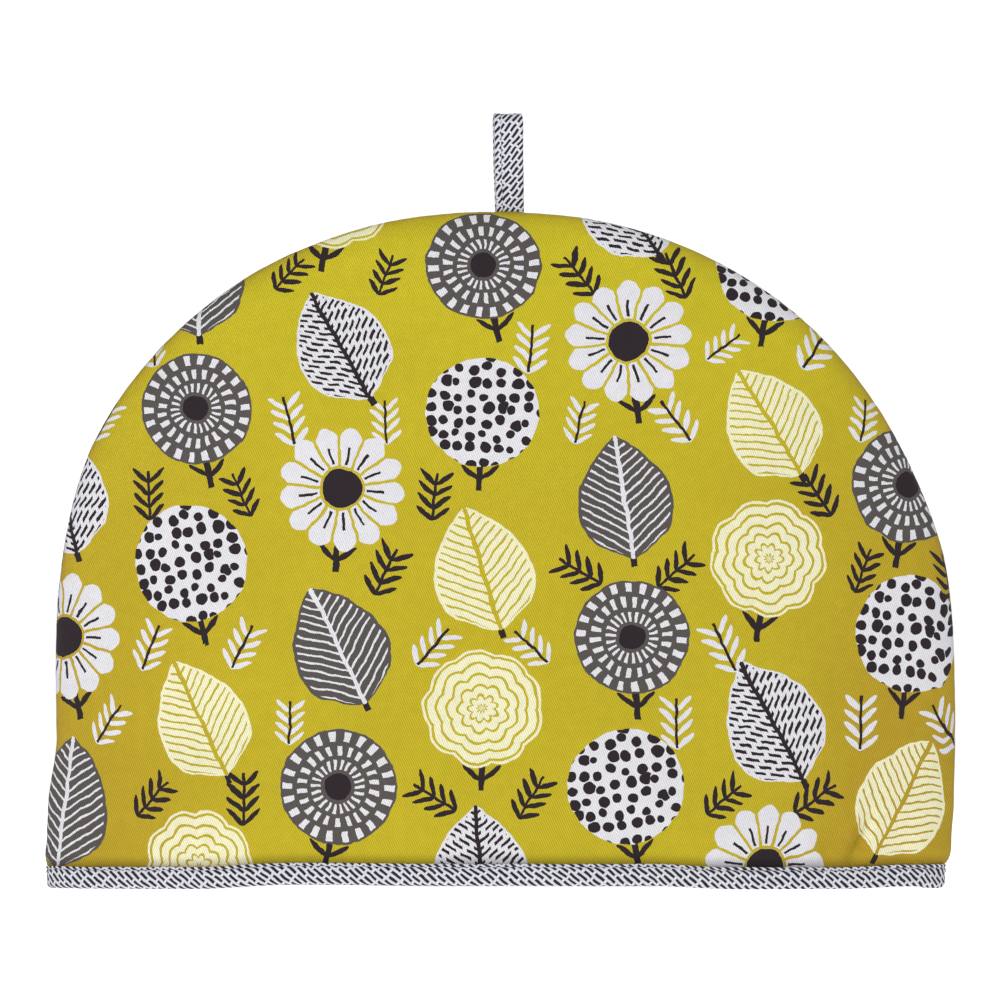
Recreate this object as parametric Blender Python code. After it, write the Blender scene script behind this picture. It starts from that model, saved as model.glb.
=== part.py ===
"""A padded cotton tea cosy, standing open on its hem.

Two half-moon panels are sewn together round the arch, with the seam allowances inside. One bias strip is
folded over their lower edges, and a tape of the same cloth is doubled and set in the top of the seam.
Sizes are in millimetres up to the function that makes a mesh, which writes metres. X runs along the width,
the front panel faces -Y, and Z is up from the surface that the hem stands on.
"""

import math
from collections import namedtuple

import bmesh
import bpy
import numpy as np

MM = 0.001
GAP = 0.3

# The arch, seen from the front. Below the spring line its sides run almost straight down to the hem.
HALF_WIDTH = 168.0
HEIGHT = 253.4
SPRING_HEIGHT = 90.0
ARCH_POWER = 2.1
RUN_BELOW = 40.0

# How the cosy stands open: how far each panel's middle layer bulges at the hem, how it falls to the seam,
# and how it rolls round at the seam.
BELLY = 51.0
FALL_POWER = 1.75
CROSS_POWER = 2.0
ROLL_ACROSS = 11.0
ROLL_OUT = 7.0
UPRIGHT_BELOW = 5.0
UPRIGHT_FADE = 25.0

# Padding: thin where it is sewn, full between the seams.
EDGE_HALF = 2.0
FULL_HALF = 3.75
SWELL_FROM_SEAM = 28.0
SWELL_FROM_HEM = 24.0

# The binding is a folded strip with a channel for the panels' edges.
BINDING_CLOTH = 1.0
BINDING_HEIGHT = 8.3
BINDING_LAND = 1.7
BINDING_ROUND = 0.9
PANEL_FOOT = BINDING_CLOTH + 2 * GAP

# The hanging loop is a flat tape, doubled over. Its legs part above the foot, which goes into the seam.
LOOP_WIDTH = 11.2
LOOP_CLOTH = 1.4
LOOP_HEIGHT = 36.6
LOOP_RADIUS = 4.3
LOOP_TUCK = 7.0
LOOP_PARTS_AT = 2.0
LOOP_FULL_AT = 26.0
LOOP_PLACE = 3.0
LOOP_LEAN = math.radians(-1.0)
LEG_HEIGHTS = (-LOOP_TUCK, -3.0, 1.0, 4.0, 8.0, 12.0, 16.0, 20.0, 24.0, 28.0)
LEGS_JOINED = 3
CROWN_CELLS = 4

# The panels' cells: their places from each end of the hem, up from each end of the sides and in from the
# outline, how many fill the rest, and the four-sided middle that a plain grid fills.
END_STEPS = (0.0, 1.0, 3.0, 6.0, 11.0, 20.0)
SIDE_STEPS = (0.0, 5.0, 11.0, 19.0)
INWARD_STEPS = (0.0, 1.2, 3.6, 7.0, 13.0, 27.0, 56.0)
HEM_CELLS = 15
SIDE_CELLS = 11
SHOULDER_HEIGHT = 172.0
CREASE_ROOM = 5.0
MIDDLE_INSET = INWARD_STEPS[-1]
MIDDLE_TOP_INSET = 81.0
MIDDLE_TOP_HEIGHT = 178.0

# How far each height of the sides leans to the right, and how far it spreads beyond the plain arch.
Side = namedtuple("Side", "height lean spread")
SIDES = (
    Side(0.0, -2.0, -1.5),
    Side(10.0, -2.0, -1.5),
    Side(19.0, -0.8, 1.3),
    Side(30.0, -0.2, 1.6),
    Side(58.0, 1.8, 0.3),
    Side(115.0, 1.1, 0.0),
    Side(170.0, -2.1, 0.0),
    Side(HEIGHT, -1.8, 0.0),
)

# Where the hem is lifted clear of the table. Between two zeros it lies flat, and at the two ends of the
# hem the front and the back are the same.
Lift = namedtuple("Lift", "place front back")
LIFTS = (
    Lift(-171.0, 0.0, 0.0),
    Lift(-118.0, 0.0, 0.0),
    Lift(-75.0, 1.5, 0.6),
    Lift(-20.0, 1.0, 0.0),
    Lift(52.0, 1.0, 0.0),
    Lift(92.0, 0.0, 0.9),
    Lift(128.0, 0.0, 0.9),
    Lift(152.0, 0.8, 0.8),
    Lift(171.0, 0.8, 0.8),
)
LIFT_FADE = 70.0

# Creases that the binding draws into the padding just above it: the place along the hem, the height of the
# middle, how far the top leans to the right, the depth, and half the length and the width.
Crease = namedtuple("Crease", "side place height slant depth reach width")
CREASES = (
    Crease("front", 116.0, 17.0, -3.0, 1.0, 9.0, 5.0),
    Crease("front", 134.0, 19.0, 5.0, 1.7, 12.0, 5.0),
    Crease("back", -96.0, 18.0, 4.0, 1.4, 12.0, 5.5),
)
CREASE_FADE = 3.0


# Shapes that the pieces share


def smooth(share):
    """0 to 1 with level ends."""
    share = np.clip(share, 0.0, 1.0)
    return share * share * (3.0 - 2.0 * share)


def eased(value, rows, column):
    """A column of a table at these values, running level through each row."""
    places = np.array([row[0] for row in rows])
    entries = np.array([getattr(row, column) for row in rows])
    index = np.clip(np.searchsorted(places, value, side="right") - 1, 0, len(rows) - 2)
    share = smooth((value - places[index]) / (places[index + 1] - places[index]))
    return entries[index] + share * (entries[index + 1] - entries[index])


def silhouette():
    """Points (x, z) of the outer edge, from below the right end of the hem over the top to the left."""
    below = np.linspace(-RUN_BELOW, SPRING_HEIGHT, 66)[:-1]
    turn = np.linspace(0.0, math.pi / 2, 120)
    heights = np.concatenate([below, SPRING_HEIGHT + (HEIGHT - SPRING_HEIGHT) * np.sin(turn)])
    above = np.clip((heights - SPRING_HEIGHT) / (HEIGHT - SPRING_HEIGHT), 0.0, 1.0)
    half = HALF_WIDTH * (1.0 - above**ARCH_POWER) ** (1.0 / ARCH_POWER)
    half += eased(heights, SIDES, "spread")
    lean = eased(heights, SIDES, "lean")
    right = np.column_stack([lean + half, heights])
    left = np.column_stack([lean - half, heights])
    return np.concatenate([right, left[-2::-1]])


def outward(line):
    """The unit normals (x, z) of a line that runs anticlockwise."""
    tangent = np.gradient(line, axis=0)
    normal = np.column_stack([tangent[:, 1], -tangent[:, 0]])
    return normal / np.linalg.norm(normal, axis=1)[:, None]


# The line where the middle layers of the two panels meet.
SEAM = silhouette() - EDGE_HALF * outward(silhouette())
SEAM_NORMAL = outward(SEAM)
TOP = int(np.argmax(SEAM[:, 1]))


def seam_sides(height):
    """The seam line's x at these heights, on the left and on the right."""
    right = np.interp(height, SEAM[: TOP + 1, 1], SEAM[: TOP + 1, 0])
    left = np.interp(height, SEAM[TOP:, 1][::-1], SEAM[TOP:, 0][::-1])
    return left, right


def to_seam(spots):
    """The distance of each spot (x, z) from the seam line, and the way out to it."""
    start = SEAM[:-1]
    run = SEAM[1:] - start
    apart = spots[:, None] - start[None]
    share = np.clip((apart * run).sum(2) / (run * run).sum(1), 0.0, 1.0)
    near = start[None] + share[..., None] * run[None]
    far = np.linalg.norm(spots[:, None] - near, axis=2)
    best = far.argmin(axis=1)
    rows = np.arange(len(spots))
    distance = far[rows, best]
    step = share[rows, best][:, None]
    normal = SEAM_NORMAL[best] * (1.0 - step) + SEAM_NORMAL[best + 1] * step
    away = near[rows, best] - spots
    inside = distance > 1e-4
    normal[inside] = away[inside] / distance[inside][:, None]
    return distance, normal / np.linalg.norm(normal, axis=1)[:, None]


def bulge(spots):
    """How far the open panel stands out from the seam's plane, without the roll at its edge."""
    height = np.clip(spots[:, 1], 0.0, SEAM[TOP, 1])
    left, right = seam_sides(height)
    half = np.maximum((right - left) / 2, 1e-3)
    across = np.clip(np.abs((spots[:, 0] - (right + left) / 2) / half), 0.0, 1.0)
    fall = 1.0 - (height / SEAM[TOP, 1]) ** FALL_POWER
    return BELLY * fall * (1.0 - across**CROSS_POWER)


def middle_layer(spots):
    """A panel's middle layer over spots (x, z): its points (x, y, z) with y out from the seam's plane,
    their outward normals, and their distance from the seam."""
    distance, way_out = to_seam(spots)
    on_seam = distance < 1e-4
    cosine = 1.0 - np.minimum(distance / ROLL_ACROSS, 1.0)
    sine = np.sqrt(1.0 - cosine**2)
    depth = np.where(on_seam, 0.0, bulge(spots)) + ROLL_OUT * sine + GAP / 2
    step = 0.5
    slope_x, slope_z = (
        (bulge(spots + move) - bulge(spots - move)) / (2 * step)
        for move in (np.array([step, 0.0]), np.array([0.0, step]))
    )
    roll = ROLL_OUT / ROLL_ACROSS * cosine
    level = smooth((spots[:, 1] - UPRIGHT_BELOW) / UPRIGHT_FADE)
    normal_x = roll * way_out[:, 0] - sine * slope_x
    normal_z = (roll * way_out[:, 1] - sine * slope_z) * level
    normal = np.column_stack([normal_x, sine, normal_z])
    normal /= np.linalg.norm(normal, axis=1)[:, None]
    return np.column_stack([spots[:, 0], depth, spots[:, 1]]), normal, distance


def settled(points, side):
    """The points on their own side of the seam's plane, with the hem's lift faded out above it."""
    fade = 1.0 - smooth(points[:, 2] / LIFT_FADE)
    height = points[:, 2] + eased(points[:, 0], LIFTS, side) * fade
    facing = -1.0 if side == "front" else 1.0
    return np.column_stack([points[:, 0], facing * points[:, 1], height])


def cloth(name, colour, roughness):
    """A matt woven cloth of an sRGB colour, given as six hex digits."""
    material = bpy.data.materials.new(name)
    material.use_nodes = True
    shader = material.node_tree.nodes["Principled BSDF"]
    parts = [int(colour[i : i + 2], 16) / 255 for i in (0, 2, 4)]
    linear = [c / 12.92 if c <= 0.04045 else ((c + 0.055) / 1.055) ** 2.4 for c in parts]
    shader.inputs["Base Color"].default_value = (*linear, 1.0)
    shader.inputs["Roughness"].default_value = roughness
    shader.inputs["Metallic"].default_value = 0.0
    material.diffuse_color = (*linear, 1.0)
    return material


def mesh_object(name, points, faces, material):
    """An object of one closed mesh, from points in millimetres, with its faces turned outwards.

    Each cell is split along its shorter diagonal, which keeps close to a tight bend.
    """
    shape = bmesh.new()
    corners = [shape.verts.new(point) for point in np.asarray(points) * MM]
    for face in faces:
        shape.faces.new([corners[i] for i in face])
    bmesh.ops.recalc_face_normals(shape, faces=shape.faces)
    bmesh.ops.triangulate(shape, faces=shape.faces, quad_method="SHORT_EDGE")
    mesh = bpy.data.meshes.new(name)
    shape.to_mesh(mesh)
    shape.free()
    mesh.materials.append(material)
    mesh.shade_smooth()
    mesh.set_sharp_from_angle(angle=math.radians(50))
    made = bpy.data.objects.new(name, mesh)
    bpy.context.scene.collection.objects.link(made)
    return made


def tube_faces(sections, size, closed):
    """Faces between neighbouring sections of this many points each, which close on the first if asked."""
    faces = []
    for section in range(sections if closed else sections - 1):
        here = section * size + np.arange(size)
        there = (section + 1) % sections * size + np.arange(size)
        faces += zip(here, np.roll(here, -1), np.roll(there, -1), there)
    return faces


# The panels


def half_thickness(spots, distance):
    """Half a panel's thickness, thin at the seam and under the binding."""
    from_seam = smooth(distance / SWELL_FROM_SEAM)
    from_hem = smooth((spots[:, 1] - BINDING_HEIGHT) / SWELL_FROM_HEM)
    return EDGE_HALF + (FULL_HALF - EDGE_HALF) * from_seam * from_hem


def crease_depth(spots, side):
    """How deep the creases above the hem draw the outer face in."""
    depth = np.zeros(len(spots))
    for crease in CREASES:
        if crease.side != side:
            continue
        along = (spots[:, 1] - crease.height) / crease.reach
        across = (spots[:, 0] - crease.place - crease.slant * along) / crease.width
        depth += crease.depth * np.exp(-(along**2) - across**2)
    return depth * smooth((spots[:, 1] - BINDING_HEIGHT) / CREASE_FADE)


def spaced(line, cells, first=(0.0,)):
    """Points along a line: the first at these distances, and the rest evenly spaced to its end."""
    run = np.concatenate([[0.0], np.cumsum(np.linalg.norm(np.diff(line, axis=0), axis=1))])
    rest = np.linspace(first[-1], run[-1], cells + 2 - len(first))
    wanted = np.concatenate([first[:-1], rest])
    return np.column_stack([np.interp(wanted, run, line[:, axis]) for axis in (0, 1)])


def hem_places():
    """Places (x) along the hem from its left end to its right end, closer at the ends and the creases."""
    left, right = seam_sides(0.0)
    ends = np.array(END_STEPS)
    even = np.linspace(left + ends[-1], right - ends[-1], HEM_CELLS + 1)
    creases = np.array([c.place + c.width * step for c in CREASES for step in (-1, 0, 1)])
    clear = np.abs(even[:, None] - creases[None]).min(axis=1) > CREASE_ROOM
    return np.unique(np.concatenate([left + ends, even[clear], creases, right - ends]).round(6))


def panel_outline():
    """Spots (x, z) round one panel, anticlockwise from the left end of its lower edge."""
    left, right = seam_sides(0.0)
    places = hem_places()
    hem = np.column_stack([places, np.full(len(places), PANEL_FOOT)])
    arch = SEAM[SEAM[:, 1] > PANEL_FOOT + GAP]
    arch = np.concatenate([[[right, PANEL_FOOT]], arch, [[left, PANEL_FOOT]]])
    shoulder = int(np.argmax(arch[:, 1] > SHOULDER_HEIGHT))
    right_side = spaced(arch[: shoulder + 1], SIDE_CELLS, SIDE_STEPS)
    over = spaced(arch[shoulder : len(arch) - shoulder], len(places) - 1)
    left_side = spaced(arch[::-1][: shoulder + 1], SIDE_CELLS, SIDE_STEPS)
    return np.concatenate([hem[:-1], right_side[:-1], over[:-1], left_side[:0:-1]])


def panel_grid():
    """Spots (x, z) over one panel, its four-sided cells, and how many spots the outline has, which come
    first. Rings step in from the outline to a four-sided middle, which a plain grid fills."""
    outline = panel_outline()
    count = len(outline)
    columns, rows = len(hem_places()), SIDE_CELLS + 1
    left, right = seam_sides(0.0)
    low = PANEL_FOOT + MIDDLE_INSET
    u, v = np.meshgrid(np.linspace(0.0, 1.0, columns), np.linspace(0.0, 1.0, rows))
    inset = MIDDLE_INSET + (MIDDLE_TOP_INSET - MIDDLE_INSET) * v
    middle_x = (left + inset) * (1.0 - u) + (right - inset) * u
    middle = np.stack([middle_x, low + (MIDDLE_TOP_HEIGHT - low) * v], axis=2)
    index = np.arange(rows * columns).reshape(rows, columns)
    rim = np.concatenate([index[0, :-1], index[:-1, -1], index[-1, :0:-1], index[:0:-1, 0]])
    share = np.array(INWARD_STEPS[:-1]) / MIDDLE_INSET
    way_in = middle.reshape(-1, 2)[rim] - outline
    rings = outline[None] + share[:, None, None] * way_in[None]
    spots = np.concatenate([rings.reshape(-1, 2), middle.reshape(-1, 2)])
    cells = tube_faces(len(share), count, closed=False)
    last = (len(share) - 1) * count + np.arange(count)
    grid = index + len(share) * count
    inner = rim + len(share) * count
    cells += zip(last, np.roll(last, -1), np.roll(inner, -1), inner)
    cells += zip(grid[:-1, :-1].flat, grid[:-1, 1:].flat, grid[1:, 1:].flat, grid[1:, :-1].flat)
    return spots, np.array(cells), count


def make_panel(name, side, material):
    """One padded half-moon: an outer and an inner face, joined round the outline."""
    spots, cells, rim = panel_grid()
    points, normal, distance = middle_layer(spots)
    half = half_thickness(spots, distance)
    outer = points + normal * (half - crease_depth(spots, side))[:, None]
    inner = points - normal * half[:, None]
    edge = np.arange(rim)
    after = np.roll(edge, -1)
    count = len(spots)
    walls = zip(edge, edge + count, after + count, after)
    faces = [*cells, *(cells[:, ::-1] + count), *walls]
    both = np.concatenate([settled(outer, side), settled(inner, side)])
    return mesh_object(name, both, faces, material)


# The binding


def binding_profile():
    """The binding's section as (out from the panels' middle layer, height), round its cloth."""
    channel = EDGE_HALF + GAP
    out = channel + BINDING_CLOTH
    fold = BINDING_HEIGHT - BINDING_ROUND
    outer = [
        (channel, PANEL_FOOT - GAP),
        (channel, fold),
        ((channel + out) / 2, BINDING_HEIGHT),
        (out, fold),
        (out, 2 * BINDING_ROUND),
        (out - BINDING_ROUND / 3, BINDING_ROUND / 2),
        (BINDING_LAND, 0.0),
    ]
    return np.array(outer + [(-across, height) for across, height in reversed(outer)])


def binding_section(place, side, at_end):
    """The binding's section at one place along the hem. At an end it lies across the seam's plane."""
    profile = binding_profile()
    points, normal, _ = middle_layer(np.column_stack([np.full(len(profile), place), profile[:, 1]]))
    if at_end:
        points[:, 1] = 0.0
        normal[:] = (math.copysign(1.0, place), 0.0, 0.0)
    return settled(points + normal * profile[:, :1], side)


def make_binding(material):
    """One strip round the whole hem, folded up on both sides of the panels' lower edges."""
    places = hem_places()
    ends = (places[0], places[-1])
    front = [binding_section(place, "front", place in ends) for place in places[:-1]]
    back = [binding_section(place, "back", place in ends) for place in places[:0:-1]]
    sections = front + back
    faces = tube_faces(len(sections), len(sections[0]), closed=True)
    return mesh_object("hem_binding", np.concatenate(sections), faces, material)


# The hanging loop


def loop_leg():
    """The tape's middle as (y, z), up the front leg and over to the top, and the way out at each point."""
    foot = LOOP_CLOTH / 2 + GAP / 2
    height = np.array(LEG_HEIGHTS)
    apart = smooth((height - LOOP_PARTS_AT) / (LOOP_FULL_AT - LOOP_PARTS_AT))
    leg = np.column_stack([-foot - (LOOP_RADIUS - foot) * apart, height])
    angle = np.linspace(0.0, math.pi / 2, CROWN_CELLS + 1)
    centre = LOOP_HEIGHT - LOOP_CLOTH / 2 - LOOP_RADIUS
    crown = np.column_stack([-LOOP_RADIUS * np.cos(angle), centre + LOOP_RADIUS * np.sin(angle)])
    path = np.concatenate([leg, crown])
    tangent = np.gradient(path, axis=0)
    tangent[0] = (0.0, 1.0)
    tangent[-1] = (1.0, 0.0)
    way_out = np.column_stack([-tangent[:, 1], tangent[:, 0]])
    return path, way_out / np.linalg.norm(way_out, axis=1)[:, None]


def loop_section():
    """The loop seen from its side: the points (y, z) of its outer edge, then those of its eye.

    The eye starts in a point where the two legs part.
    """
    path, way_out = loop_leg()
    outside = path + way_out * LOOP_CLOTH / 2
    inside = (path - way_out * LOOP_CLOTH / 2)[LEGS_JOINED:]
    inside[0, 0] = 0.0
    mirror = np.array([-1.0, 1.0])
    outer = np.concatenate([outside, outside[-2::-1] * mirror])
    eye = np.concatenate([inside, inside[-2:0:-1] * mirror])
    return outer, eye


def make_loop(material):
    """The doubled tape, its two legs sewn into one foot that goes down between the panels."""
    outer, eye = loop_section()
    section = np.concatenate([outer, eye])
    size = len(section)
    half = LOOP_WIDTH / 2
    sides = [np.column_stack([np.full(size, x), section]) for x in (-half, half)]
    faces = []
    for first, count in ((0, len(outer)), (len(outer), len(eye))):
        here = first + np.arange(count)
        after = np.roll(here, -1)
        faces += zip(here, after, after + size, here + size)
    near = LEGS_JOINED + np.arange(len(eye) + 1)
    round_eye = len(outer) + np.arange(len(eye) + 1) % len(eye)
    front_foot = np.arange(LEGS_JOINED + 1)
    back_foot = len(outer) - 1 - front_foot[::-1]
    for shift in (0, size):
        faces += zip(near[:-1] + shift, near[1:] + shift, round_eye[1:] + shift, round_eye[:-1] + shift)
        faces.append([*(front_foot + shift), len(outer) + shift, *(back_foot + shift)])
    made = mesh_object("hanging_loop", np.concatenate(sides), faces, material)
    stand_on_top(made)
    return made


def stand_on_top(made):
    """Places an object at the top of the arch, leaning as the loop does."""
    made.location = (LOOP_PLACE * MM, 0.0, HEIGHT * MM)
    made.rotation_euler = (0.0, LOOP_LEAN, 0.0)


def cut_seat(panels):
    """A slot through the top of the seam, where the foot of the loop goes down between the panels."""
    shape = bmesh.new()
    bmesh.ops.create_cube(shape, size=1.0)
    foot_half = LOOP_CLOTH + GAP / 2
    size = (LOOP_WIDTH + 2 * GAP, 2 * (foot_half + GAP), 3 * LOOP_TUCK)
    bmesh.ops.scale(shape, vec=[side * MM for side in size], verts=shape.verts)
    mesh = bpy.data.meshes.new("loop_seat")
    shape.to_mesh(mesh)
    shape.free()
    cutter = bpy.data.objects.new("loop_seat", mesh)
    stand_on_top(cutter)
    cutter.hide_render = True
    cutter.display_type = "WIRE"
    bpy.context.scene.collection.objects.link(cutter)
    for panel in panels:
        seat = panel.modifiers.new("loop seat", "BOOLEAN")
        seat.operation = "DIFFERENCE"
        seat.object = cutter


def main():
    for old in list(bpy.data.objects):
        bpy.data.objects.remove(old)
    panels = [
        make_panel("front_panel", "front", cloth("mustard_twill_front", "c4b129", 0.85)),
        make_panel("back_panel", "back", cloth("mustard_twill_back", "bfab2c", 0.85)),
    ]
    binding = make_binding(cloth("dashed_cotton_binding", "bbbcc3", 0.85))
    loop = make_loop(cloth("dashed_cotton_loop", "b5b4bc", 0.85))
    cut_seat(panels)
    cosy = bpy.data.objects.new("tea_cosy", None)
    bpy.context.scene.collection.objects.link(cosy)
    for piece in (*panels, binding, loop):
        piece.parent = cosy


main()
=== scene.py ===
# %% [markdown]
# # A padded cotton tea cosy
#
# A tea cosy keeps a teapot warm. This one is two half-moon panels, each a sandwich of printed cotton
# twill, wadding and plain cotton. They are sewn together round the arch and turned, so that the seam
# allowances lie inside. A bias strip is folded over the lower edges, and a tape of the same cloth is
# doubled and caught in the top of the seam.
#
# Blender could drape such a cosy over a pot by simulation, but the photograph shows its outline
# exactly, so each piece here is worked out from sizes: first the arch, then how the panels bulge, then
# the padding, the seams and the small creases that sewing leaves. The print and the weave are drawn by
# shader nodes on flat-cloth coordinates, as a printer would see them before the panels were cut.

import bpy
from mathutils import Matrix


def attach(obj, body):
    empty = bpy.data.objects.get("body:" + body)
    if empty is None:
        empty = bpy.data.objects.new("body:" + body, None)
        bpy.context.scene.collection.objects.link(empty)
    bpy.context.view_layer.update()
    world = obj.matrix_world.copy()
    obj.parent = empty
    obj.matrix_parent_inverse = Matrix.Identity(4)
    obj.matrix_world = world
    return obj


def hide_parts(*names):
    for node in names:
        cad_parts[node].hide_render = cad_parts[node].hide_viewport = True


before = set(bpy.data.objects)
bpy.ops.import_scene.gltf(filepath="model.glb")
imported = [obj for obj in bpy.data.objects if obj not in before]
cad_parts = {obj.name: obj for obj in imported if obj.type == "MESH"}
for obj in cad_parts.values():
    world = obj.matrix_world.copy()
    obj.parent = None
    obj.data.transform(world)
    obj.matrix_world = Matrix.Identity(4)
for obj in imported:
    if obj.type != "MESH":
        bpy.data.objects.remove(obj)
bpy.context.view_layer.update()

import math
from collections import namedtuple

import bpy
import numpy as np
from mathutils import Vector, noise

MM = 0.001

# %% [markdown]
# ## The arch
#
# The pattern cutter's half-moon is a superellipse above the spring line, with sides that run almost
# straight down to the hem. Real sewing pulls it a little out of true, so a short table leans and
# spreads the outline by height. The numbers are millimetres, and they are the same as the frame's, so
# each piece lands on the solid that it stands for.

# %% The sizes of the arch
HALF_WIDTH = 168.0
HEIGHT = 253.4
SPRING_HEIGHT = 90.0
ARCH_POWER = 2.1
RUN_BELOW = 40.0
SIDE_POINTS = 66
ARCH_POINTS = 120
EDGE_HALF = 2.0
GAP = 0.3

Side = namedtuple("Side", "height lean spread")
SIDES = (
    Side(0.0, -2.0, -1.5),
    Side(6.2, -2.0, -1.5),
    Side(8.1, -1.6, 0.6),
    Side(13.0, -1.2, 1.7),
    Side(19.0, -0.8, 1.4),
    Side(30.0, -0.2, 1.6),
    Side(58.0, 1.8, 0.3),
    Side(115.0, 1.1, 0.0),
    Side(170.0, -2.1, 0.0),
    Side(HEIGHT, -1.8, 0.0),
)


# %% Helpers for smooth lines
def smooth(share):
    """0 to 1 with level ends."""
    share = np.clip(share, 0.0, 1.0)
    return share * share * (3.0 - 2.0 * share)


def eased(value, rows, column):
    """A column of a table at these values, running level through each row."""
    places = np.array([row[0] for row in rows])
    entries = np.array([getattr(row, column) for row in rows])
    index = np.clip(np.searchsorted(places, value, side="right") - 1, 0, len(rows) - 2)
    share = smooth((value - places[index]) / (places[index + 1] - places[index]))
    return entries[index] + share * (entries[index + 1] - entries[index])


def quarter(count):
    """This many angles over a quarter turn."""
    return np.linspace(0.0, math.pi / 2, count)


def run_along(line):
    """How far along a line each of its points lies."""
    return np.concatenate([[0.0], np.cumsum(np.linalg.norm(np.diff(line, axis=0), axis=1))])


# %% The outline and the seam line
def silhouette():
    """Points (x, z) of the outer edge, from below the right end of the hem over the top to the left."""
    below = np.linspace(-RUN_BELOW, SPRING_HEIGHT, SIDE_POINTS)[:-1]
    over = SPRING_HEIGHT + (HEIGHT - SPRING_HEIGHT) * np.sin(quarter(ARCH_POINTS))
    heights = np.concatenate([below, over])
    above = np.clip((heights - SPRING_HEIGHT) / (HEIGHT - SPRING_HEIGHT), 0.0, 1.0)
    half = HALF_WIDTH * (1.0 - above**ARCH_POWER) ** (1.0 / ARCH_POWER)
    half += eased(heights, SIDES, "spread")
    lean = eased(heights, SIDES, "lean")
    right = np.column_stack([lean + half, heights])
    left = np.column_stack([lean - half, heights])
    return np.concatenate([right, left[-2::-1]])


def outward(line):
    """The unit normals (x, z) of a line that runs anticlockwise."""
    tangent = np.gradient(line, axis=0)
    normal = np.column_stack([tangent[:, 1], -tangent[:, 0]])
    return normal / np.linalg.norm(normal, axis=1)[:, None]


SEAM = silhouette() - EDGE_HALF * outward(silhouette())
SEAM_NORMAL = outward(SEAM)
SEAM_RUN = run_along(SEAM)
TOP = int(np.argmax(SEAM[:, 1]))
print("seam line:", len(SEAM), "points,", round(SEAM_RUN[-1]), "mm")

# %% [markdown]
# ## How the panels bulge
#
# On the table the cosy stands open. Each panel bulges most at the middle of the hem and falls back to
# the seam, where the padding rolls round an edge. A point is first placed flat, by where it is seen
# from the front, and then pushed out: a broad bulge plus a quarter-ellipse roll close to the seam. The
# slope of the bulge gives the normal, along which the cloth's two faces are set off.

# %% The way to the seam
ON_SEAM = 1e-4
SPOTS_AT_ONCE = 4000


def seam_sides(height):
    """The seam line's x at these heights, on the left and on the right."""
    right = np.interp(height, SEAM[: TOP + 1, 1], SEAM[: TOP + 1, 0])
    left = np.interp(height, SEAM[TOP:, 1][::-1], SEAM[TOP:, 0][::-1])
    return left, right


def nearest_on_seam(spots):
    """For a few spots (x, z): the distance from the seam line, the way out to it and how far along it."""
    start = SEAM[:-1]
    run = SEAM[1:] - start
    apart = spots[:, None] - start[None]
    share = np.clip((apart * run).sum(2) / (run * run).sum(1), 0.0, 1.0)
    near = start[None] + share[..., None] * run[None]
    far = np.linalg.norm(spots[:, None] - near, axis=2)
    best = far.argmin(axis=1)
    rows = np.arange(len(spots))
    distance, step = far[rows, best], share[rows, best]
    normal = SEAM_NORMAL[best] * (1.0 - step[:, None]) + SEAM_NORMAL[best + 1] * step[:, None]
    inside = distance > ON_SEAM
    normal[inside] = (near[rows, best] - spots)[inside] / distance[inside][:, None]
    along = SEAM_RUN[best] + step * (SEAM_RUN[best + 1] - SEAM_RUN[best])
    return np.column_stack([distance, normal / np.linalg.norm(normal, axis=1)[:, None], along])


def to_seam(spots):
    """The same for many spots, a few thousand at a time to keep the tables small."""
    parts = np.array_split(spots, 1 + len(spots) // SPOTS_AT_ONCE)
    found = np.concatenate([nearest_on_seam(part) for part in parts])
    return found[:, 0], found[:, 1:3], found[:, 3]


# %% The middle layer of a panel
BELLY = 51.0
FALL_POWER = 1.75
CROSS_POWER = 2.0
LEAST_HALF = 1e-3
SLOPE_STEP = 0.5
ROLL_ACROSS = 11.0
ROLL_OUT = 7.0
UPRIGHT_BELOW = 5.0
UPRIGHT_FADE = 25.0
SEAM_OVERLAP = 0.05


def bulge(spots):
    """How far the open panel stands out from the seam's plane, without the roll at its edge."""
    height = np.clip(spots[:, 1], 0.0, SEAM[TOP, 1])
    left, right = seam_sides(height)
    half = np.maximum((right - left) / 2, LEAST_HALF)
    across = np.clip(np.abs((spots[:, 0] - (right + left) / 2) / half), 0.0, 1.0)
    fall = 1.0 - (height / SEAM[TOP, 1]) ** FALL_POWER
    return BELLY * fall * (1.0 - across**CROSS_POWER)


def middle_layer(spots, distance, way_out):
    """A panel's middle layer over spots (x, z): its points (x, y, z), with y out from the seam's plane,
    and their outward normals."""
    cosine = 1.0 - np.minimum(distance / ROLL_ACROSS, 1.0)
    sine = np.sqrt(1.0 - cosine**2)
    depth = np.where(distance < ON_SEAM, 0.0, bulge(spots)) + ROLL_OUT * sine - SEAM_OVERLAP
    slope_x, slope_z = (
        (bulge(spots + move) - bulge(spots - move)) / (2 * SLOPE_STEP) for move in SLOPE_STEP * np.eye(2)
    )
    roll = ROLL_OUT / ROLL_ACROSS * cosine
    level = smooth((spots[:, 1] - UPRIGHT_BELOW) / UPRIGHT_FADE)
    normal_x = roll * way_out[:, 0] - sine * slope_x
    normal_z = (roll * way_out[:, 1] - sine * slope_z) * level
    normal = np.column_stack([normal_x, sine, normal_z])
    normal /= np.linalg.norm(normal, axis=1)[:, None]
    return np.column_stack([spots[:, 0], depth, spots[:, 1]]), normal


# %% [markdown]
# The hem doesn't touch the table all the way round: between the stretches that carry the cosy it lifts
# by a millimetre or so, and the lift fades out higher up the panel.

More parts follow.
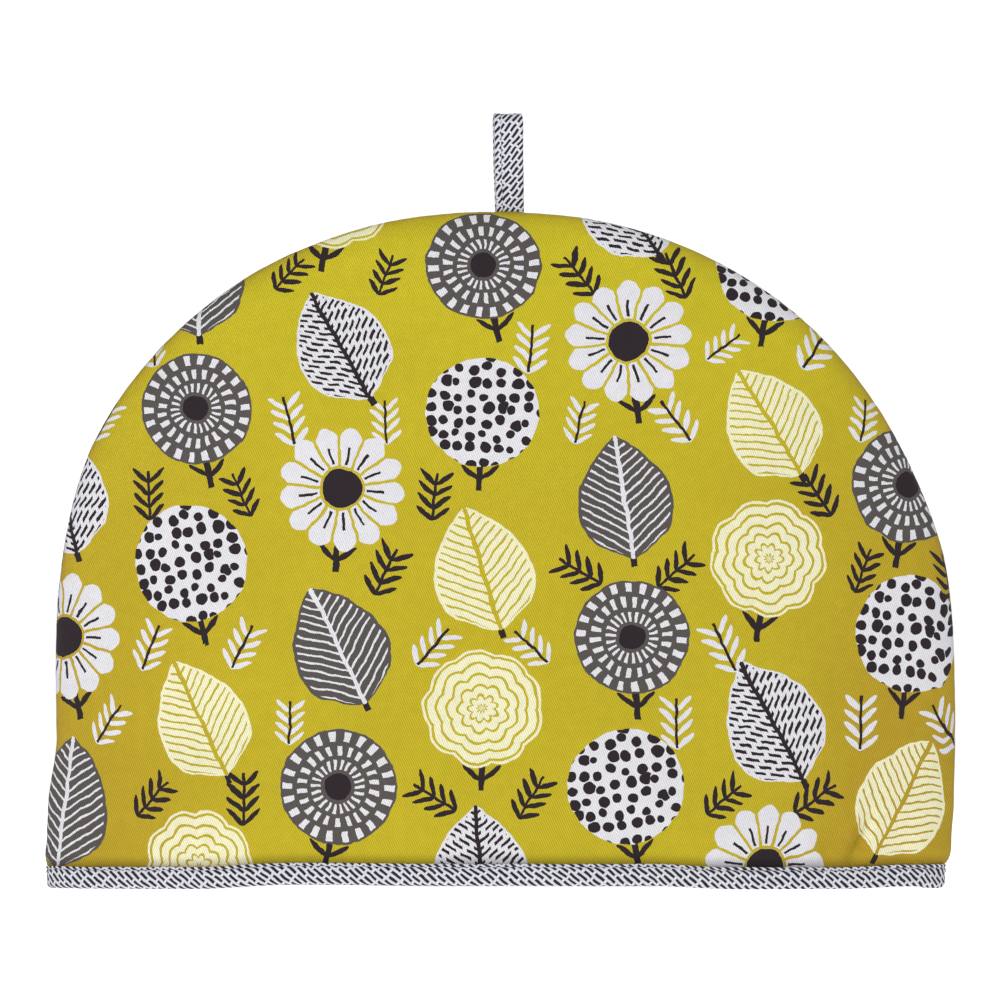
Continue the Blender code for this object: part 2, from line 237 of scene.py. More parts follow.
# %% The hem's lift, and which side of the seam a point is on
Lift = namedtuple("Lift", "place front back")
LIFTS = (
    Lift(-171.0, 0.0, 0.0),
    Lift(-118.0, 0.0, 0.0),
    Lift(-75.0, 1.9, 0.6),
    Lift(-20.0, 1.5, 0.0),
    Lift(52.0, 1.5, 0.0),
    Lift(92.0, 0.0, 0.9),
    Lift(128.0, 0.0, 0.9),
    Lift(152.0, 0.8, 0.8),
    Lift(171.0, 0.8, 0.8),
)
LIFT_FADE = 70.0


def settled(points, side):
    """The points on their own side of the seam's plane, with the hem's lift faded out above it."""
    fade = 1.0 - smooth(points[:, 2] / LIFT_FADE)
    height = points[:, 2] + eased(points[:, 0], LIFTS, side) * fade
    facing = -1.0 if side == "front" else 1.0
    return np.column_stack([points[:, 0], facing * points[:, 1], height])


# %% [markdown]
# ## A mesh that follows the cut
#
# Cloth shades well only where the mesh runs with its edges. Rings of cells step in from the outline,
# very fine where the padding rolls over the seam, and a plain four-sided grid fills the middle. That is
# the usual way to fill a rounded shape with four-sided faces and no pole at its centre.

# %% How the mesh is spaced
CELL = 1.75
FIRST_RING = 0.5
RING_GROWTH = 1.22
ROLL_POINTS = 400
PANEL_FOOT = 1.6
SHOULDER_HEIGHT = 205.0
MIDDLE_INSET = 56.0
MIDDLE_TOP_INSET = 79.0
MIDDLE_TOP_HEIGHT = 178.0


def spaced(line, count):
    """This many points, evenly spaced along a line."""
    run = run_along(line)
    wanted = np.linspace(0.0, run[-1], count)
    return np.column_stack([np.interp(wanted, run, line[:, axis]) for axis in (0, 1)])


def ring_steps():
    """How far in from the outline each ring lies, so that the rings are evenly graded on the roll."""
    turn = quarter(ROLL_POINTS)
    roll = np.column_stack([ROLL_ACROSS * (1.0 - np.cos(turn)), ROLL_OUT * np.sin(turn)])
    run = run_along(roll)
    run = np.append(run, run[-1] + MIDDLE_INSET - ROLL_ACROSS)
    wanted, step = [0.0], FIRST_RING
    while wanted[-1] + 1.5 * CELL < run[-1]:
        wanted.append(wanted[-1] + step)
        step = min(step * RING_GROWTH, CELL)
    return np.interp(wanted, run, np.append(roll[:, 0], MIDDLE_INSET))


def tube_faces(sections, size, closed):
    """Faces between neighbouring sections of this many points each, which close on the first if asked."""
    faces = []
    for section in range(sections if closed else sections - 1):
        here = section * size + np.arange(size)
        there = (section + 1) % sections * size + np.arange(size)
        faces += zip(here, np.roll(here, -1), np.roll(there, -1), there)
    return faces


# %% Spots over one panel
def panel_outline(columns, rows):
    """The panel's outline, spaced so that opposite sides have the same number of points."""
    left, right = seam_sides(0.0)
    arch = SEAM[SEAM[:, 1] > PANEL_FOOT + GAP]
    arch = np.concatenate([[[right, PANEL_FOOT]], arch, [[left, PANEL_FOOT]]])
    shoulder = int(np.argmax(arch[:, 1] > SHOULDER_HEIGHT))
    hem = spaced(arch[[-1, 0]], columns)
    right_side = spaced(arch[: shoulder + 1], rows)
    over = spaced(arch[shoulder : len(arch) - shoulder], columns)
    left_side = spaced(arch[len(arch) - shoulder - 1 :], rows)
    return np.concatenate([hem[:-1], right_side[:-1], over[:-1], left_side[:-1]])


def panel_grid():
    """Spots (x, z) over one panel, its four-sided cells, and how many spots the outline has, which come
    first."""
    left, right = seam_sides(0.0)
    columns, rows = int((right - left) / CELL), int(SHOULDER_HEIGHT / CELL)
    outline = panel_outline(columns, rows)
    count = len(outline)
    low = PANEL_FOOT + MIDDLE_INSET
    u, v = np.meshgrid(np.linspace(0.0, 1.0, columns), np.linspace(0.0, 1.0, rows))
    inset = MIDDLE_INSET + (MIDDLE_TOP_INSET - MIDDLE_INSET) * v
    middle_x = (left + inset) * (1.0 - u) + (right - inset) * u
    middle = np.column_stack([middle_x.ravel(), (low + (MIDDLE_TOP_HEIGHT - low) * v).ravel()])
    index = np.arange(rows * columns).reshape(rows, columns)
    rim = np.concatenate([index[0, :-1], index[:-1, -1], index[-1, :0:-1], index[:0:-1, 0]])
    share = ring_steps() / MIDDLE_INSET
    rings = outline[None] + share[:, None, None] * (middle[rim] - outline)[None]
    cells = tube_faces(len(share), count, closed=False)
    last = (len(share) - 1) * count + np.arange(count)
    inner = rim + len(share) * count
    grid = index + len(share) * count
    cells += zip(last, np.roll(last, -1), np.roll(inner, -1), inner)
    cells += zip(grid[:-1, :-1].flat, grid[:-1, 1:].flat, grid[1:, 1:].flat, grid[1:, :-1].flat)
    return np.concatenate([rings.reshape(-1, 2), middle]), np.array(cells), count


SPOTS, CELLS, RIM = panel_grid()
DISTANCE, WAY_OUT, ALONG = to_seam(SPOTS)
POINTS, NORMALS = middle_layer(SPOTS, DISTANCE, WAY_OUT)
print("one face of a panel:", len(SPOTS), "points,", len(CELLS), "cells")

# %% [markdown]
# ## Padding, seams and creases
#
# Wadding fills the panel between its seams and is squeezed flat where it is sewn. On top of that plain
# swelling come the marks that make it look sewn and not moulded: a groove where the two printed faces
# are drawn in to the seam, small puckers across it where one edge was eased on to the other, a few
# creases that the binding pulls into the cloth above the hem, and a slow unevenness in the wadding.
# Each is a height in millimetres, added along the normal, and built from Blender's own noise where it
# has no fixed place.

# %% The padding's thickness, and unevenness
FULL_HALF = 3.75
SWELL_FROM_SEAM = 28.0
SWELL_FROM_HEM = 24.0
BINDING_HEIGHT = 8.3
SIDE_SHIFT = {"front": 0.0, "back": 431.0}

Bumps = namedtuple("Bumps", "length shift")


def uneven(places, bumps, side="front"):
    """Blender's noise, -1 to 1, at places in millimetres. The bumps have about this length, and the shift
    gives each kind of bump and each side its own stretch of the noise."""
    shift = Vector((SIDE_SHIFT[side] + bumps.shift, 0.0, 0.0))
    return np.array([noise.noise(Vector((*place, 0.0)) / bumps.length + shift) for place in places])


def half_thickness(spots, distance):
    """Half a panel's thickness, thin at the seam and under the binding."""
    from_seam = smooth(distance / SWELL_FROM_SEAM)
    from_hem = smooth((spots[:, 1] - BINDING_HEIGHT) / SWELL_FROM_HEM)
    return EDGE_HALF + (FULL_HALF - EDGE_HALF) * from_seam * from_hem


# %% Creases above the hem
Crease = namedtuple("Crease", "side place height slant depth reach width")
CREASES = (
    Crease("front", 107.0, 13.5, 1.0, 0.7, 6.0, 2.8),
    Crease("front", 121.0, 14.5, 3.5, 1.6, 7.5, 2.8),
    Crease("front", 133.0, 18.5, 4.6, 3.2, 10.5, 2.35),
    Crease("front", 137.5, 17.0, 4.0, -1.2, 9.0, 2.6),
    Crease("front", 148.0, 13.0, 2.0, 1.2, 6.0, 3.4),
    Crease("front", -142.0, 14.0, -2.5, 0.5, 8.0, 4.0),
    Crease("front", -61.0, 12.5, 2.0, 0.4, 5.0, 3.5),
    Crease("front", 30.0, 12.0, -1.5, 0.35, 5.0, 3.0),
    Crease("back", -96.0, 18.0, 4.0, 1.4, 12.0, 4.4),
    Crease("back", -110.0, 13.0, 1.0, 0.6, 6.0, 3.5),
    Crease("back", 63.0, 14.0, -3.0, 0.7, 8.0, 3.6),
)
CREASE_FADE = 3.0


def crease_depth(spots, side):
    """How deep the creases above the hem draw the outer face in."""
    depth = np.zeros(len(spots))
    for crease in [each for each in CREASES if each.side == side]:
        along = (spots[:, 1] - crease.height) / crease.reach
        across = (spots[:, 0] - crease.place - crease.slant * along) / crease.width
        depth += crease.depth * np.exp(-(along**2) - across**2)
    return depth * smooth((spots[:, 1] - BINDING_HEIGHT) / CREASE_FADE)


# %% Relief of the outer face
SEAM_GROOVE, SEAM_GROOVE_WIDTH = 1.25, 1.5
LIP, LIP_UNEVEN, LIP_WIDTH = 0.75, 0.6, 3.4
LIP_BUMPS = Bumps(46.0, 7.0)
PUCKER, PUCKER_REACH = 0.5, 8.0
PUCKERS = Bumps(6.5, 0.0)
LONG_PUCKER_SHARE = 0.6
LONG_PUCKERS = Bumps(15.0, 3.0)
PUCKERED_STRETCHES = Bumps(70.0, 11.0)
ACROSS_SEAM = 0.25
WADDING, WADDING_BUMPS = 0.8, Bumps(62.0, 19.0)
DIMPLE, DIMPLE_BUMPS = 0.16, Bumps(21.0, 29.0)
WADDING_FROM_SEAM = 12.0
CLEAR_OF_BINDING = 10.0
UNDER_BINDING = 2.5
TAPE_PLACE = 3.0
TAPE_ROOM_HALF = 5.0
TAPE_ROOM_FADE = 1.8
TAPE_ROOM_DEPTH = 14.0


def hump(offset, width):
    """1 in the middle, and fading away on both sides."""
    return np.exp(-((offset / width) ** 2))


def swell(run, width):
    """0 at the seam, 1 at this distance from it, and fading away beyond."""
    return (run / width) * np.exp(1.0 - run / width)


def from_seam_on_cloth(distance):
    """The way to the seam along the rolled surface, for a distance seen from the front."""
    turn = np.arccos(1.0 - np.minimum(distance / ROLL_ACROSS, 1.0))
    return ROLL_OUT * turn + np.maximum(distance - ROLL_ACROSS, 0.0)


def beside_tape(points):
    """1 where the tape goes into the seam, 0 a few millimetres to either side."""
    across = 1.0 - smooth((np.abs(points[:, 0] - TAPE_PLACE) - TAPE_ROOM_HALF) / TAPE_ROOM_FADE)
    return across * (1.0 - smooth((HEIGHT - points[:, -1]) / TAPE_ROOM_DEPTH))


def relief(side):
    """What sewing adds to the outer face of a panel, along its normal."""
    groove = SEAM_GROOVE * hump(SEAM_WAY, SEAM_GROOVE_WIDTH)
    places = np.column_stack([ALONG, ACROSS_SEAM * SEAM_WAY])
    lip = (LIP + LIP_UNEVEN * uneven(places, LIP_BUMPS, side)) * swell(SEAM_WAY, LIP_WIDTH)
    eased_in = uneven(places, PUCKERS, side) + LONG_PUCKER_SHARE * uneven(places, LONG_PUCKERS, side)
    strength = 0.5 + 0.5 * uneven(places, PUCKERED_STRETCHES, side)
    puckers = PUCKER * eased_in * strength * swell(SEAM_WAY, PUCKER_REACH)
    above_binding = SPOTS[:, 1] - BINDING_HEIGHT
    clear = smooth(above_binding / CLEAR_OF_BINDING)
    swollen = smooth((above_binding + UNDER_BINDING) / UNDER_BINDING)
    slow = WADDING * uneven(SPOTS, WADDING_BUMPS, side)
    dimples = DIMPLE * uneven(SPOTS, DIMPLE_BUMPS, side)
    away = smooth(SEAM_WAY / WADDING_FROM_SEAM)
    sewn = lip * swollen - groove + (puckers + (slow + dimples) * away) * clear
    return sewn * (1.0 - beside_tape(SPOTS)) - crease_depth(SPOTS, side)


SEAM_WAY = from_seam_on_cloth(DISTANCE)
RELIEF = {side: relief(side) for side in ("front", "back")}
print("relief of the front, mm:", RELIEF["front"].min().round(2), "to", RELIEF["front"].max().round(2))

# %% [markdown]
# ## Flat-cloth coordinates
#
# The cloth was printed flat and then bent, so the print has to be laid out on the cloth and not on the
# picture. Along each row and each column of a fine lattice the length of the surface is added up from
# the middle, which gives two coordinates in millimetres of cloth. They go into a UV map called
# "cloth".

# %% Length along the surface
LATTICE = 2.0
LATTICE_MARGIN = 6.0
SHORT_OF_LAST = 1.001


def lattice_lengths(xs, zs):
    """The cloth's length across and up at each point of a lattice over the panel."""
    grid_x, grid_z = np.meshgrid(xs, zs)
    spots = np.column_stack([grid_x.ravel(), grid_z.ravel()])
    distance, way_out, _ = to_seam(spots)
    left, right = seam_sides(np.clip(spots[:, 1], 0.0, SEAM[TOP, 1]))
    distance[(spots[:, 0] < left) | (spots[:, 0] > right)] = 0.0
    depth = middle_layer(spots, distance, way_out)[0][:, 1].reshape(grid_x.shape)
    across, up = (
        np.insert(np.cumsum(np.hypot(LATTICE, np.diff(depth, axis=axis)), axis=axis), 0, 0.0, axis=axis)
        for axis in (1, 0)
    )
    return across - across[:, [len(xs) // 2]], up


def cloth_coordinates():
    """Flat-cloth coordinates (across, up) in millimetres for each spot of a panel."""
    xs = np.arange(-HALF_WIDTH - LATTICE_MARGIN, HALF_WIDTH + LATTICE_MARGIN, LATTICE)
    zs = np.arange(-LATTICE, HEIGHT + LATTICE, LATTICE)
    column = np.clip((SPOTS[:, 0] - xs[0]) / LATTICE, 0, len(xs) - SHORT_OF_LAST)
    row = np.clip((SPOTS[:, 1] - zs[0]) / LATTICE, 0, len(zs) - SHORT_OF_LAST)
    c, r = column.astype(int), row.astype(int)
    right, above = column - c, row - r
    between = []
    for length in lattice_lengths(xs, zs):
        low = length[r, c] * (1 - right) + length[r, c + 1] * right
        high = length[r + 1, c] * (1 - right) + length[r + 1, c + 1] * right
        between.append(low * (1 - above) + high * above)
    return np.column_stack(between)


CLOTH = cloth_coordinates()
print("cloth of a panel, mm:", np.ptp(CLOTH, axis=0).round(1))

# %% [markdown]
# ## Making meshes
#
# Every piece is one closed mesh from a list of points and a list of faces, written in metres. A UV map
# holds the flat-cloth coordinates in millimetres, and each face may name its own material.

# %% A helper for one piece
def piece_mesh(name, points, faces, cloth, slots=None):
    """An object from points in millimetres, with flat-cloth coordinates and a slot for each face."""
    mesh = bpy.data.meshes.new(name)
    mesh.from_pydata(np.asarray(points) * MM, [], [tuple(map(int, face)) for face in faces])
    corners = np.zeros(len(mesh.loops), dtype=np.int32)
    mesh.loops.foreach_get("vertex_index", corners)
    layer = mesh.uv_layers.new(name="cloth")
    layer.data.foreach_set("uv", np.asarray(cloth, dtype=np.float32)[corners].ravel())
    if slots is not None:
        mesh.polygons.foreach_set("material_index", np.asarray(slots, dtype=np.int32))
    mesh.shade_smooth()
    made = bpy.data.objects.new(name, mesh)
    bpy.context.scene.collection.objects.link(made)
    print(name, len(mesh.polygons), "faces")
    return made


# %% [markdown]
# ## The two panels
#
# A panel has a printed face, a plain inner face and an edge between them. Where the tape goes down into
# the seam, the two panels part a little to make room for its layers of cloth. Two attributes are kept
# for the material: how far each point lies from the seam and the hem, and how much painted shade
# browns the mustard there.

# %% How much painted shade the cloth gets
SHADE_BODY, SHADE_BODY_TOP, SHADE_BODY_FADE = 0.32, 235.0, 110.0
SHADE_SIDES, SHADE_SIDES_TOP, SHADE_SIDES_FADE = 0.22, 140.0, 90.0
SHADE_LOW_SIDES, SHADE_LOW_FADE = 0.7, 180.0
SHADE_WIDTH = 90.0
SHADE_LEAN = 0.3
SHADE_SEAM, SHADE_SEAM_WIDTH = 0.6, 8.0


def painted_shade():
    """How much painted shade browns the mustard, 0 to 1: none at the top, most low at the sides and at the
    seam.
    """
    height = SPOTS[:, 1]
    body = SHADE_BODY * smooth((SHADE_BODY_TOP - height) / SHADE_BODY_FADE)
    near_side = smooth(1.0 - SEAM_WAY / SHADE_WIDTH)
    middle = SHADE_SIDES * (1.0 - smooth((height - SHADE_SIDES_TOP) / SHADE_SIDES_FADE))
    low = SHADE_LOW_SIDES * (1.0 - smooth(height / SHADE_LOW_FADE))
    side = near_side * (middle + low) * (1.0 + SHADE_LEAN * SPOTS[:, 0] / HALF_WIDTH)
    seam_shade_share = SHADE_SEAM * smooth(1.0 - SEAM_WAY / SHADE_SEAM_WIDTH)
    return np.clip(body + side + seam_shade_share, 0.0, 1.0)


# %% Make the panels
TAPE_ROOM = 1.65
INNER_WADDING, INNER_BUMPS = 0.5, Bumps(48.0, 37.0)
INNER_EDGE_FADE = 14.0
OUTER_SLOT, INNER_SLOT = 0, 1


def make_panel(name, side):
    """One padded half-moon of the cosy."""
    half = half_thickness(SPOTS, DISTANCE)
    outer = POINTS + NORMALS * (half + RELIEF[side])[:, None]
    above_binding = SPOTS[:, 1] - BINDING_HEIGHT
    from_edges = smooth(np.minimum(DISTANCE, above_binding) / INNER_EDGE_FADE)
    inner_relief = INNER_WADDING * uneven(SPOTS, INNER_BUMPS, side) * from_edges
    inner = POINTS - NORMALS * (half + inner_relief)[:, None]
    both = np.concatenate([outer, inner])
    both[:, 1] += TAPE_ROOM * beside_tape(both)
    edge = np.arange(RIM)
    after = np.roll(edge, -1)
    count = len(SPOTS)
    walls = np.column_stack([edge, edge + count, after + count, after])
    faces = np.concatenate([CELLS, CELLS[:, ::-1] + count, walls])
    if side == "back":
        faces = faces[:, ::-1]
    slots = np.repeat([OUTER_SLOT, INNER_SLOT, OUTER_SLOT], [len(CELLS), len(CELLS), len(walls)])
    facing = 1.0 if side == "front" else -1.0
    cloth = np.concatenate([CLOTH * (facing, 1.0)] * 2)
    panel = piece_mesh(name, settled(both, side), faces, cloth, slots)
    for key, values in (("from_edge", np.minimum(SEAM_WAY, above_binding)), ("painted_shade", painted_shade())):
        layer = panel.data.attributes.new(key, "FLOAT", "POINT")
        layer.data.foreach_set("value", np.tile(values, 2).astype(np.float32))
    return panel


front_panel = make_panel("printed_front_panel", "front")
back_panel = make_panel("printed_back_panel", "back")

# %% [markdown]
# ## The hem binding
#
# Bias tape is a strip with both raw edges folded in, then folded again over the edge that it covers. One
# row of stitching, a little below its upper edge, catches both sides at once, and pulls a groove into the
# strip. The band below the stitches stays slightly plump. Here the strip's section is drawn once, and
# carried along the hem, round the two ends and along the back.

# %% The section of the binding
BINDING_CLOTH = 1.0
BINDING_LAND = 1.7
CHANNEL = EDGE_HALF + GAP
STITCH_HEIGHT = BINDING_HEIGHT - 1.25
STITCH_GROOVE, STITCH_GROOVE_WIDTH = 0.5, 0.42
BAND_PLUMP, BAND_PLUMP_POWER = 0.42, 0.7
EDGE_ROUND, EDGE_CLOTH = 0.75, 0.15
FOOT_ROUND = 1.5
FOOT_POINTS, BAND_POINTS, EDGE_POINTS = 6, 22, 5
INSIDE_HEIGHTS = (BINDING_HEIGHT - 0.9, 4.5, PANEL_FOOT - GAP)


def binding_face(height):
    """How far the outside of the strip stands out from the panel's middle layer at these heights."""
    below = np.clip(height / STITCH_HEIGHT, 0.0, 1.0)
    plump = BAND_PLUMP * np.sin(math.pi * below) ** BAND_PLUMP_POWER
    groove = STITCH_GROOVE * hump(height - STITCH_HEIGHT, STITCH_GROOVE_WIDTH)
    near_edge = np.clip(1.0 - (BINDING_HEIGHT - height) / EDGE_ROUND, 0.0, 1.0)
    edge = (BINDING_CLOTH - EDGE_CLOTH) * (1.0 - np.sqrt(1.0 - near_edge**2))
    near_foot = np.clip(1.0 - height / FOOT_ROUND, 0.0, 1.0)
    foot = (CHANNEL + BINDING_CLOTH - BINDING_LAND) * (1.0 - np.sqrt(1.0 - near_foot**2))
    return CHANNEL + BINDING_CLOTH + plump - groove - edge - foot


def binding_section_line():
    """The closed section as (out, height), how far up the unfolded strip each point lies, the strip's
    whole width, and how far up it the stitches are."""
    near_foot = FOOT_ROUND * (1.0 - np.cos(quarter(FOOT_POINTS)))
    band = np.linspace(FOOT_ROUND, BINDING_HEIGHT - EDGE_ROUND, BAND_POINTS)[1:]
    near_edge = BINDING_HEIGHT - EDGE_ROUND * (1.0 - np.sin(quarter(EDGE_POINTS)))[1:]
    heights = np.concatenate([near_foot, band, near_edge])
    outside = np.column_stack([binding_face(heights), heights])
    inside = [[CHANNEL, height] for height in INSIDE_HEIGHTS]
    half = np.concatenate([[[0.0, 0.0]], outside, inside])
    run = run_along(half)
    line = np.concatenate([half, half[:0:-1] * (-1.0, 1.0)])
    stitch = np.interp(STITCH_HEIGHT, heights, run[1 : len(outside) + 1])
    return line, np.concatenate([run, -run[:0:-1]]), 2 * run[len(outside)], stitch


SECTION, UP_STRIP, STRIP_WIDTH, STITCH_UP_STRIP = binding_section_line()
print("points round the binding:", len(SECTION), "ready-folded strip, mm:", STRIP_WIDTH.round(1))

# %% [markdown]
# The strip is a little longer than the hem that it covers, so it gathers very slightly: its upper edge
# waves by a few tenths of a millimetre, and short puckers cross the band, most of them at the stitches.

# %% The section at one place
HEM_CELL = 1.45
END_TURN_CELLS = 9
EDGE_WAVE, EDGE_WAVE_LENGTH, EDGE_WAVE_ABOVE = 0.3, 17.0, 3.0
BAND_PUCKER, BAND_PUCKERS = 0.16, Bumps(3.2, 5.0)
PUCKER_SLANT = 1.6
PUCKER_LEAST, PUCKER_PULL_WIDTH, PUCKER_FOOT = 0.45, 2.0, 2.0
END_FLARE, END_FLARE_WIDTH, END_FLARE_ABOVE, END_FLARE_RISE = 1.0, 6.0, 4.5, 3.8
DROOP, DROOP_PLACE, DROOP_WIDTH = 0.8, 161.0, 3.0


def hem_places():
    """Places (x) along the hem from its left end to its right end, closer where the cloth rolls round."""
    left, right = seam_sides(0.0)
    turn = ROLL_ACROSS * (1.0 - np.cos(quarter(END_TURN_CELLS)))
    span = right - left - 2 * ROLL_ACROSS
    even = np.linspace(left + ROLL_ACROSS, right - ROLL_ACROSS, int(span / HEM_CELL))[1:-1]
    return np.concatenate([left + turn, even, right - turn[::-1]])


def hem_layer(places, heights):
    """The panel's middle layer and its normals at these places along the hem."""
    spots = np.column_stack(np.broadcast_arrays(places, heights))
    distance, way_out, _ = to_seam(spots)
    return middle_layer(spots, distance, way_out)


def binding_ring(place, side, run, at_end):
    """The binding's section at one place along the hem."""
    out, heights = SECTION.T
    wave = noise.noise(Vector((run / EDGE_WAVE_LENGTH, SIDE_SHIFT[side], 0.0)))
    upper = smooth((heights - EDGE_WAVE_ABOVE) / (BINDING_HEIGHT - EDGE_WAVE_ABOVE))
    droop = DROOP * hump(place - DROOP_PLACE, DROOP_WIDTH) if side == "front" else 0.0
    points, normal = hem_layer(place, heights + EDGE_WAVE * wave * upper - droop * (1.0 - upper))
    end = math.copysign(1.0, place)
    if at_end:
        points[:, 1] = 0.0
        normal[:] = (end, 0.0, 0.0)
    from_end = np.min(np.abs(place - np.array(seam_sides(0.0))))
    rise = smooth((heights - END_FLARE_ABOVE) / END_FLARE_RISE)
    points[:, 0] += end * END_FLARE * rise * smooth(1.0 - from_end / END_FLARE_WIDTH)
    pucker_places = np.column_stack([np.full(len(out), run), PUCKER_SLANT * heights])
    pucker = BAND_PUCKER * uneven(pucker_places, BAND_PUCKERS, side)
    pull = PUCKER_LEAST + (1.0 - PUCKER_LEAST) * hump(heights - STITCH_HEIGHT, PUCKER_PULL_WIDTH)
    puckered = out + np.sign(out) * pucker * pull * smooth(heights / PUCKER_FOOT)
    return settled(points + normal * puckered[:, None], side)


# %% Carry the section along the hem
RUN_HEIGHT = 4.0


def make_binding():
    """One strip round the whole hem, folded up on both sides of the panels' lower edges, and the length
    of its fold."""
    places = hem_places()
    middle, normal = hem_layer(places, RUN_HEIGHT)
    half_run = run_along(middle + normal * (CHANNEL + BINDING_CLOTH))
    last = len(places) - 1
    stops = [(index, "front", half_run[index]) for index in range(last)]
    stops += [(index, "back", 2 * half_run[-1] - half_run[index]) for index in range(last, 0, -1)]
    rings = [binding_ring(places[index], side, run, index in (0, last)) for index, side, run in stops]
    faces = [face[::-1] for face in tube_faces(len(rings), len(SECTION), closed=True)]
    strip = [(run, up) for _, _, run in stops for up in UP_STRIP]
    return piece_mesh("bias_hem_binding", np.concatenate(rings), faces, strip), 2 * run_along(middle)[-1]


hem_binding, hem_run = make_binding()
print("hem run:", round(hem_run), "mm")

# %% [markdown]
# ## The hanging loop
#
# The loop is the same tape as the binding, folded to a flat strip with its long edges turned in and
# sewn down, so it is stiff enough to stand. It is doubled over and its two ends are caught in the seam.
# A strip like this could be a curve with a bevel, but its two faces and the row of stitches need their
# own section, so it is swept in code: up the front leg, over the top and down the back leg.

# %% The tape's path, seen from its side
TAPE_WIDTH = 11.2
TAPE_CLOTH = 1.4
TAPE_HEIGHT = 36.6
TAPE_RADIUS = 4.3
TAPE_TUCK = 7.0
TAPE_PARTS_AT = 2.0
TAPE_FULL_AT = 26.0
TAPE_CELL = 0.8
CROWN_POINTS = 10


def tape_path():
    """The tape's middle as (y, z) from the foot of the front leg to the foot of the back leg."""
    foot = TAPE_CLOTH / 2 + GAP / 2
    centre = TAPE_HEIGHT - TAPE_CLOTH / 2 - TAPE_RADIUS
    height = np.linspace(-TAPE_TUCK, centre, int((centre + TAPE_TUCK) / TAPE_CELL))
    apart = smooth((height - TAPE_PARTS_AT) / (TAPE_FULL_AT - TAPE_PARTS_AT))
    leg = np.column_stack([-foot - (TAPE_RADIUS - foot) * apart, height])
    angle = quarter(CROWN_POINTS)[1:]
    crown = np.column_stack([-TAPE_RADIUS * np.cos(angle), centre + TAPE_RADIUS * np.sin(angle)])
    front = np.concatenate([leg, crown])
    return np.concatenate([front, front[-2::-1] * (-1.0, 1.0)])


# %% [markdown]
# The section is a flat strip with rounded edges. A groove runs along both faces where the turned-in edge
# is sewn down, three millimetres from one side, and the narrow part beside it is one layer thicker.

# %% The tape's section
TAPE_STITCH_FROM_EDGE = 3.1
TAPE_GROOVE, TAPE_GROOVE_WIDTH = 0.3, 0.45
TAPE_TURNED_IN = 0.14
TAPE_FACE_POINTS, TAPE_EDGE_POINTS = 22, 7


def tape_section():
    """The closed section as (across, out of the face), and the way round it in millimetres."""
    half_width, half = TAPE_WIDTH / 2, TAPE_CLOTH / 2
    across = np.linspace(-half_width + half, half_width - half, TAPE_FACE_POINTS)
    stitch = -half_width + TAPE_STITCH_FROM_EDGE
    face = half - TAPE_GROOVE * hump(across - stitch, TAPE_GROOVE_WIDTH)
    face += np.where(across < stitch, TAPE_TURNED_IN, 0.0)
    turn = np.linspace(0.0, math.pi, TAPE_EDGE_POINTS)[1:-1]
    right = np.column_stack([half_width - half + half * np.sin(turn), half * np.cos(turn)])
    left_half = half + TAPE_TURNED_IN
    left = np.column_stack([-half_width + half - half * np.sin(turn), -left_half * np.cos(turn)])
    front, back = np.column_stack([across, face]), np.column_stack([across, -face])[::-1]
    line = np.concatenate([front, right, back, left])
    return line, run_along(line)


# %% Sweep the tape
TAPE_PUCKER, TAPE_PUCKERS = 0.09, Bumps(2.9, 53.0)
TAPE_PUCKER_SLANT = 1.5
TAPE_WANDER, TAPE_WANDER_LENGTH, TAPE_WANDER_SHIFT = 0.18, 14.0, 3.7
TAPE_TAPER = 0.035
CROWN_NARROWS, CROWN_HEIGHT = 0.35, 3.5
TAPE_LEAN = math.radians(-1.0)


def make_loop():
    """The doubled tape, standing in the top of the seam, and the length of its path."""
    path = tape_path()
    tangent = np.gradient(path, axis=0)
    tangent /= np.linalg.norm(tangent, axis=1)[:, None]
    run = run_along(path)
    line, round_run = tape_section()
    across, out = line.T
    over = smooth((path[:, 1] - TAPE_HEIGHT + CROWN_HEIGHT) / CROWN_HEIGHT)
    taper = TAPE_TAPER * (2.0 * path[:, 1] / TAPE_HEIGHT - 1.0)
    width = 1.0 + taper - 2 * CROWN_NARROWS / TAPE_WIDTH * over
    rings, strip = [], []
    for index, (y, z) in enumerate(path):
        here = np.full(len(line), run[index])
        pucker_places = np.column_stack([here, TAPE_PUCKER_SLANT * across])
        puckered = out + TAPE_PUCKER * uneven(pucker_places, TAPE_PUCKERS) * np.sign(out)
        wave = noise.noise(Vector((run[index] / TAPE_WANDER_LENGTH, TAPE_WANDER_SHIFT, 0.0)))
        moved = across * width[index] + TAPE_WANDER * wave
        along_y, along_z = tangent[index]
        ring = [moved, y - along_z * puckered, z + along_y * puckered]
        rings.append(np.column_stack(ring))
        strip.append(np.column_stack([here, round_run]))
    size = len(line)
    faces = [face[::-1] for face in tube_faces(len(rings), size, closed=False)]
    faces.append(range(size))
    faces.append(range(len(rings) * size - 1, (len(rings) - 1) * size - 1, -1))
    sine, cosine = math.sin(TAPE_LEAN), math.cos(TAPE_LEAN)
    lean = np.array([[cosine, 0, sine], [0, 1, 0], [-sine, 0, cosine]])
    points = np.concatenate(rings) @ lean.T + (TAPE_PLACE, 0.0, HEIGHT)
    return piece_mesh("folded_tape_loop", points, faces, np.concatenate(strip)), run[-1]


hanging_loop, tape_run = make_loop()
print("tape run:", round(tape_run), "mm")

# %% [markdown]
# ## Where the motifs of the print lie
#
# The panels are cut from a printed cloth. Its design is a plain botanical one: leaves, seed heads and
# flowers on short stems, set out half-drop, which means that every other column is shifted by half a
# repeat. A shader could work the layout out for itself, but then every motif would have to be drawn from
# the same tangle of numbers. Instead each face of the mesh is told which motif it lies in, and its
# corners carry the motif's own coordinates in millimetres, turned and mirrored as the motif is. The
# shader then only has to draw each motif once, upright and at the origin.

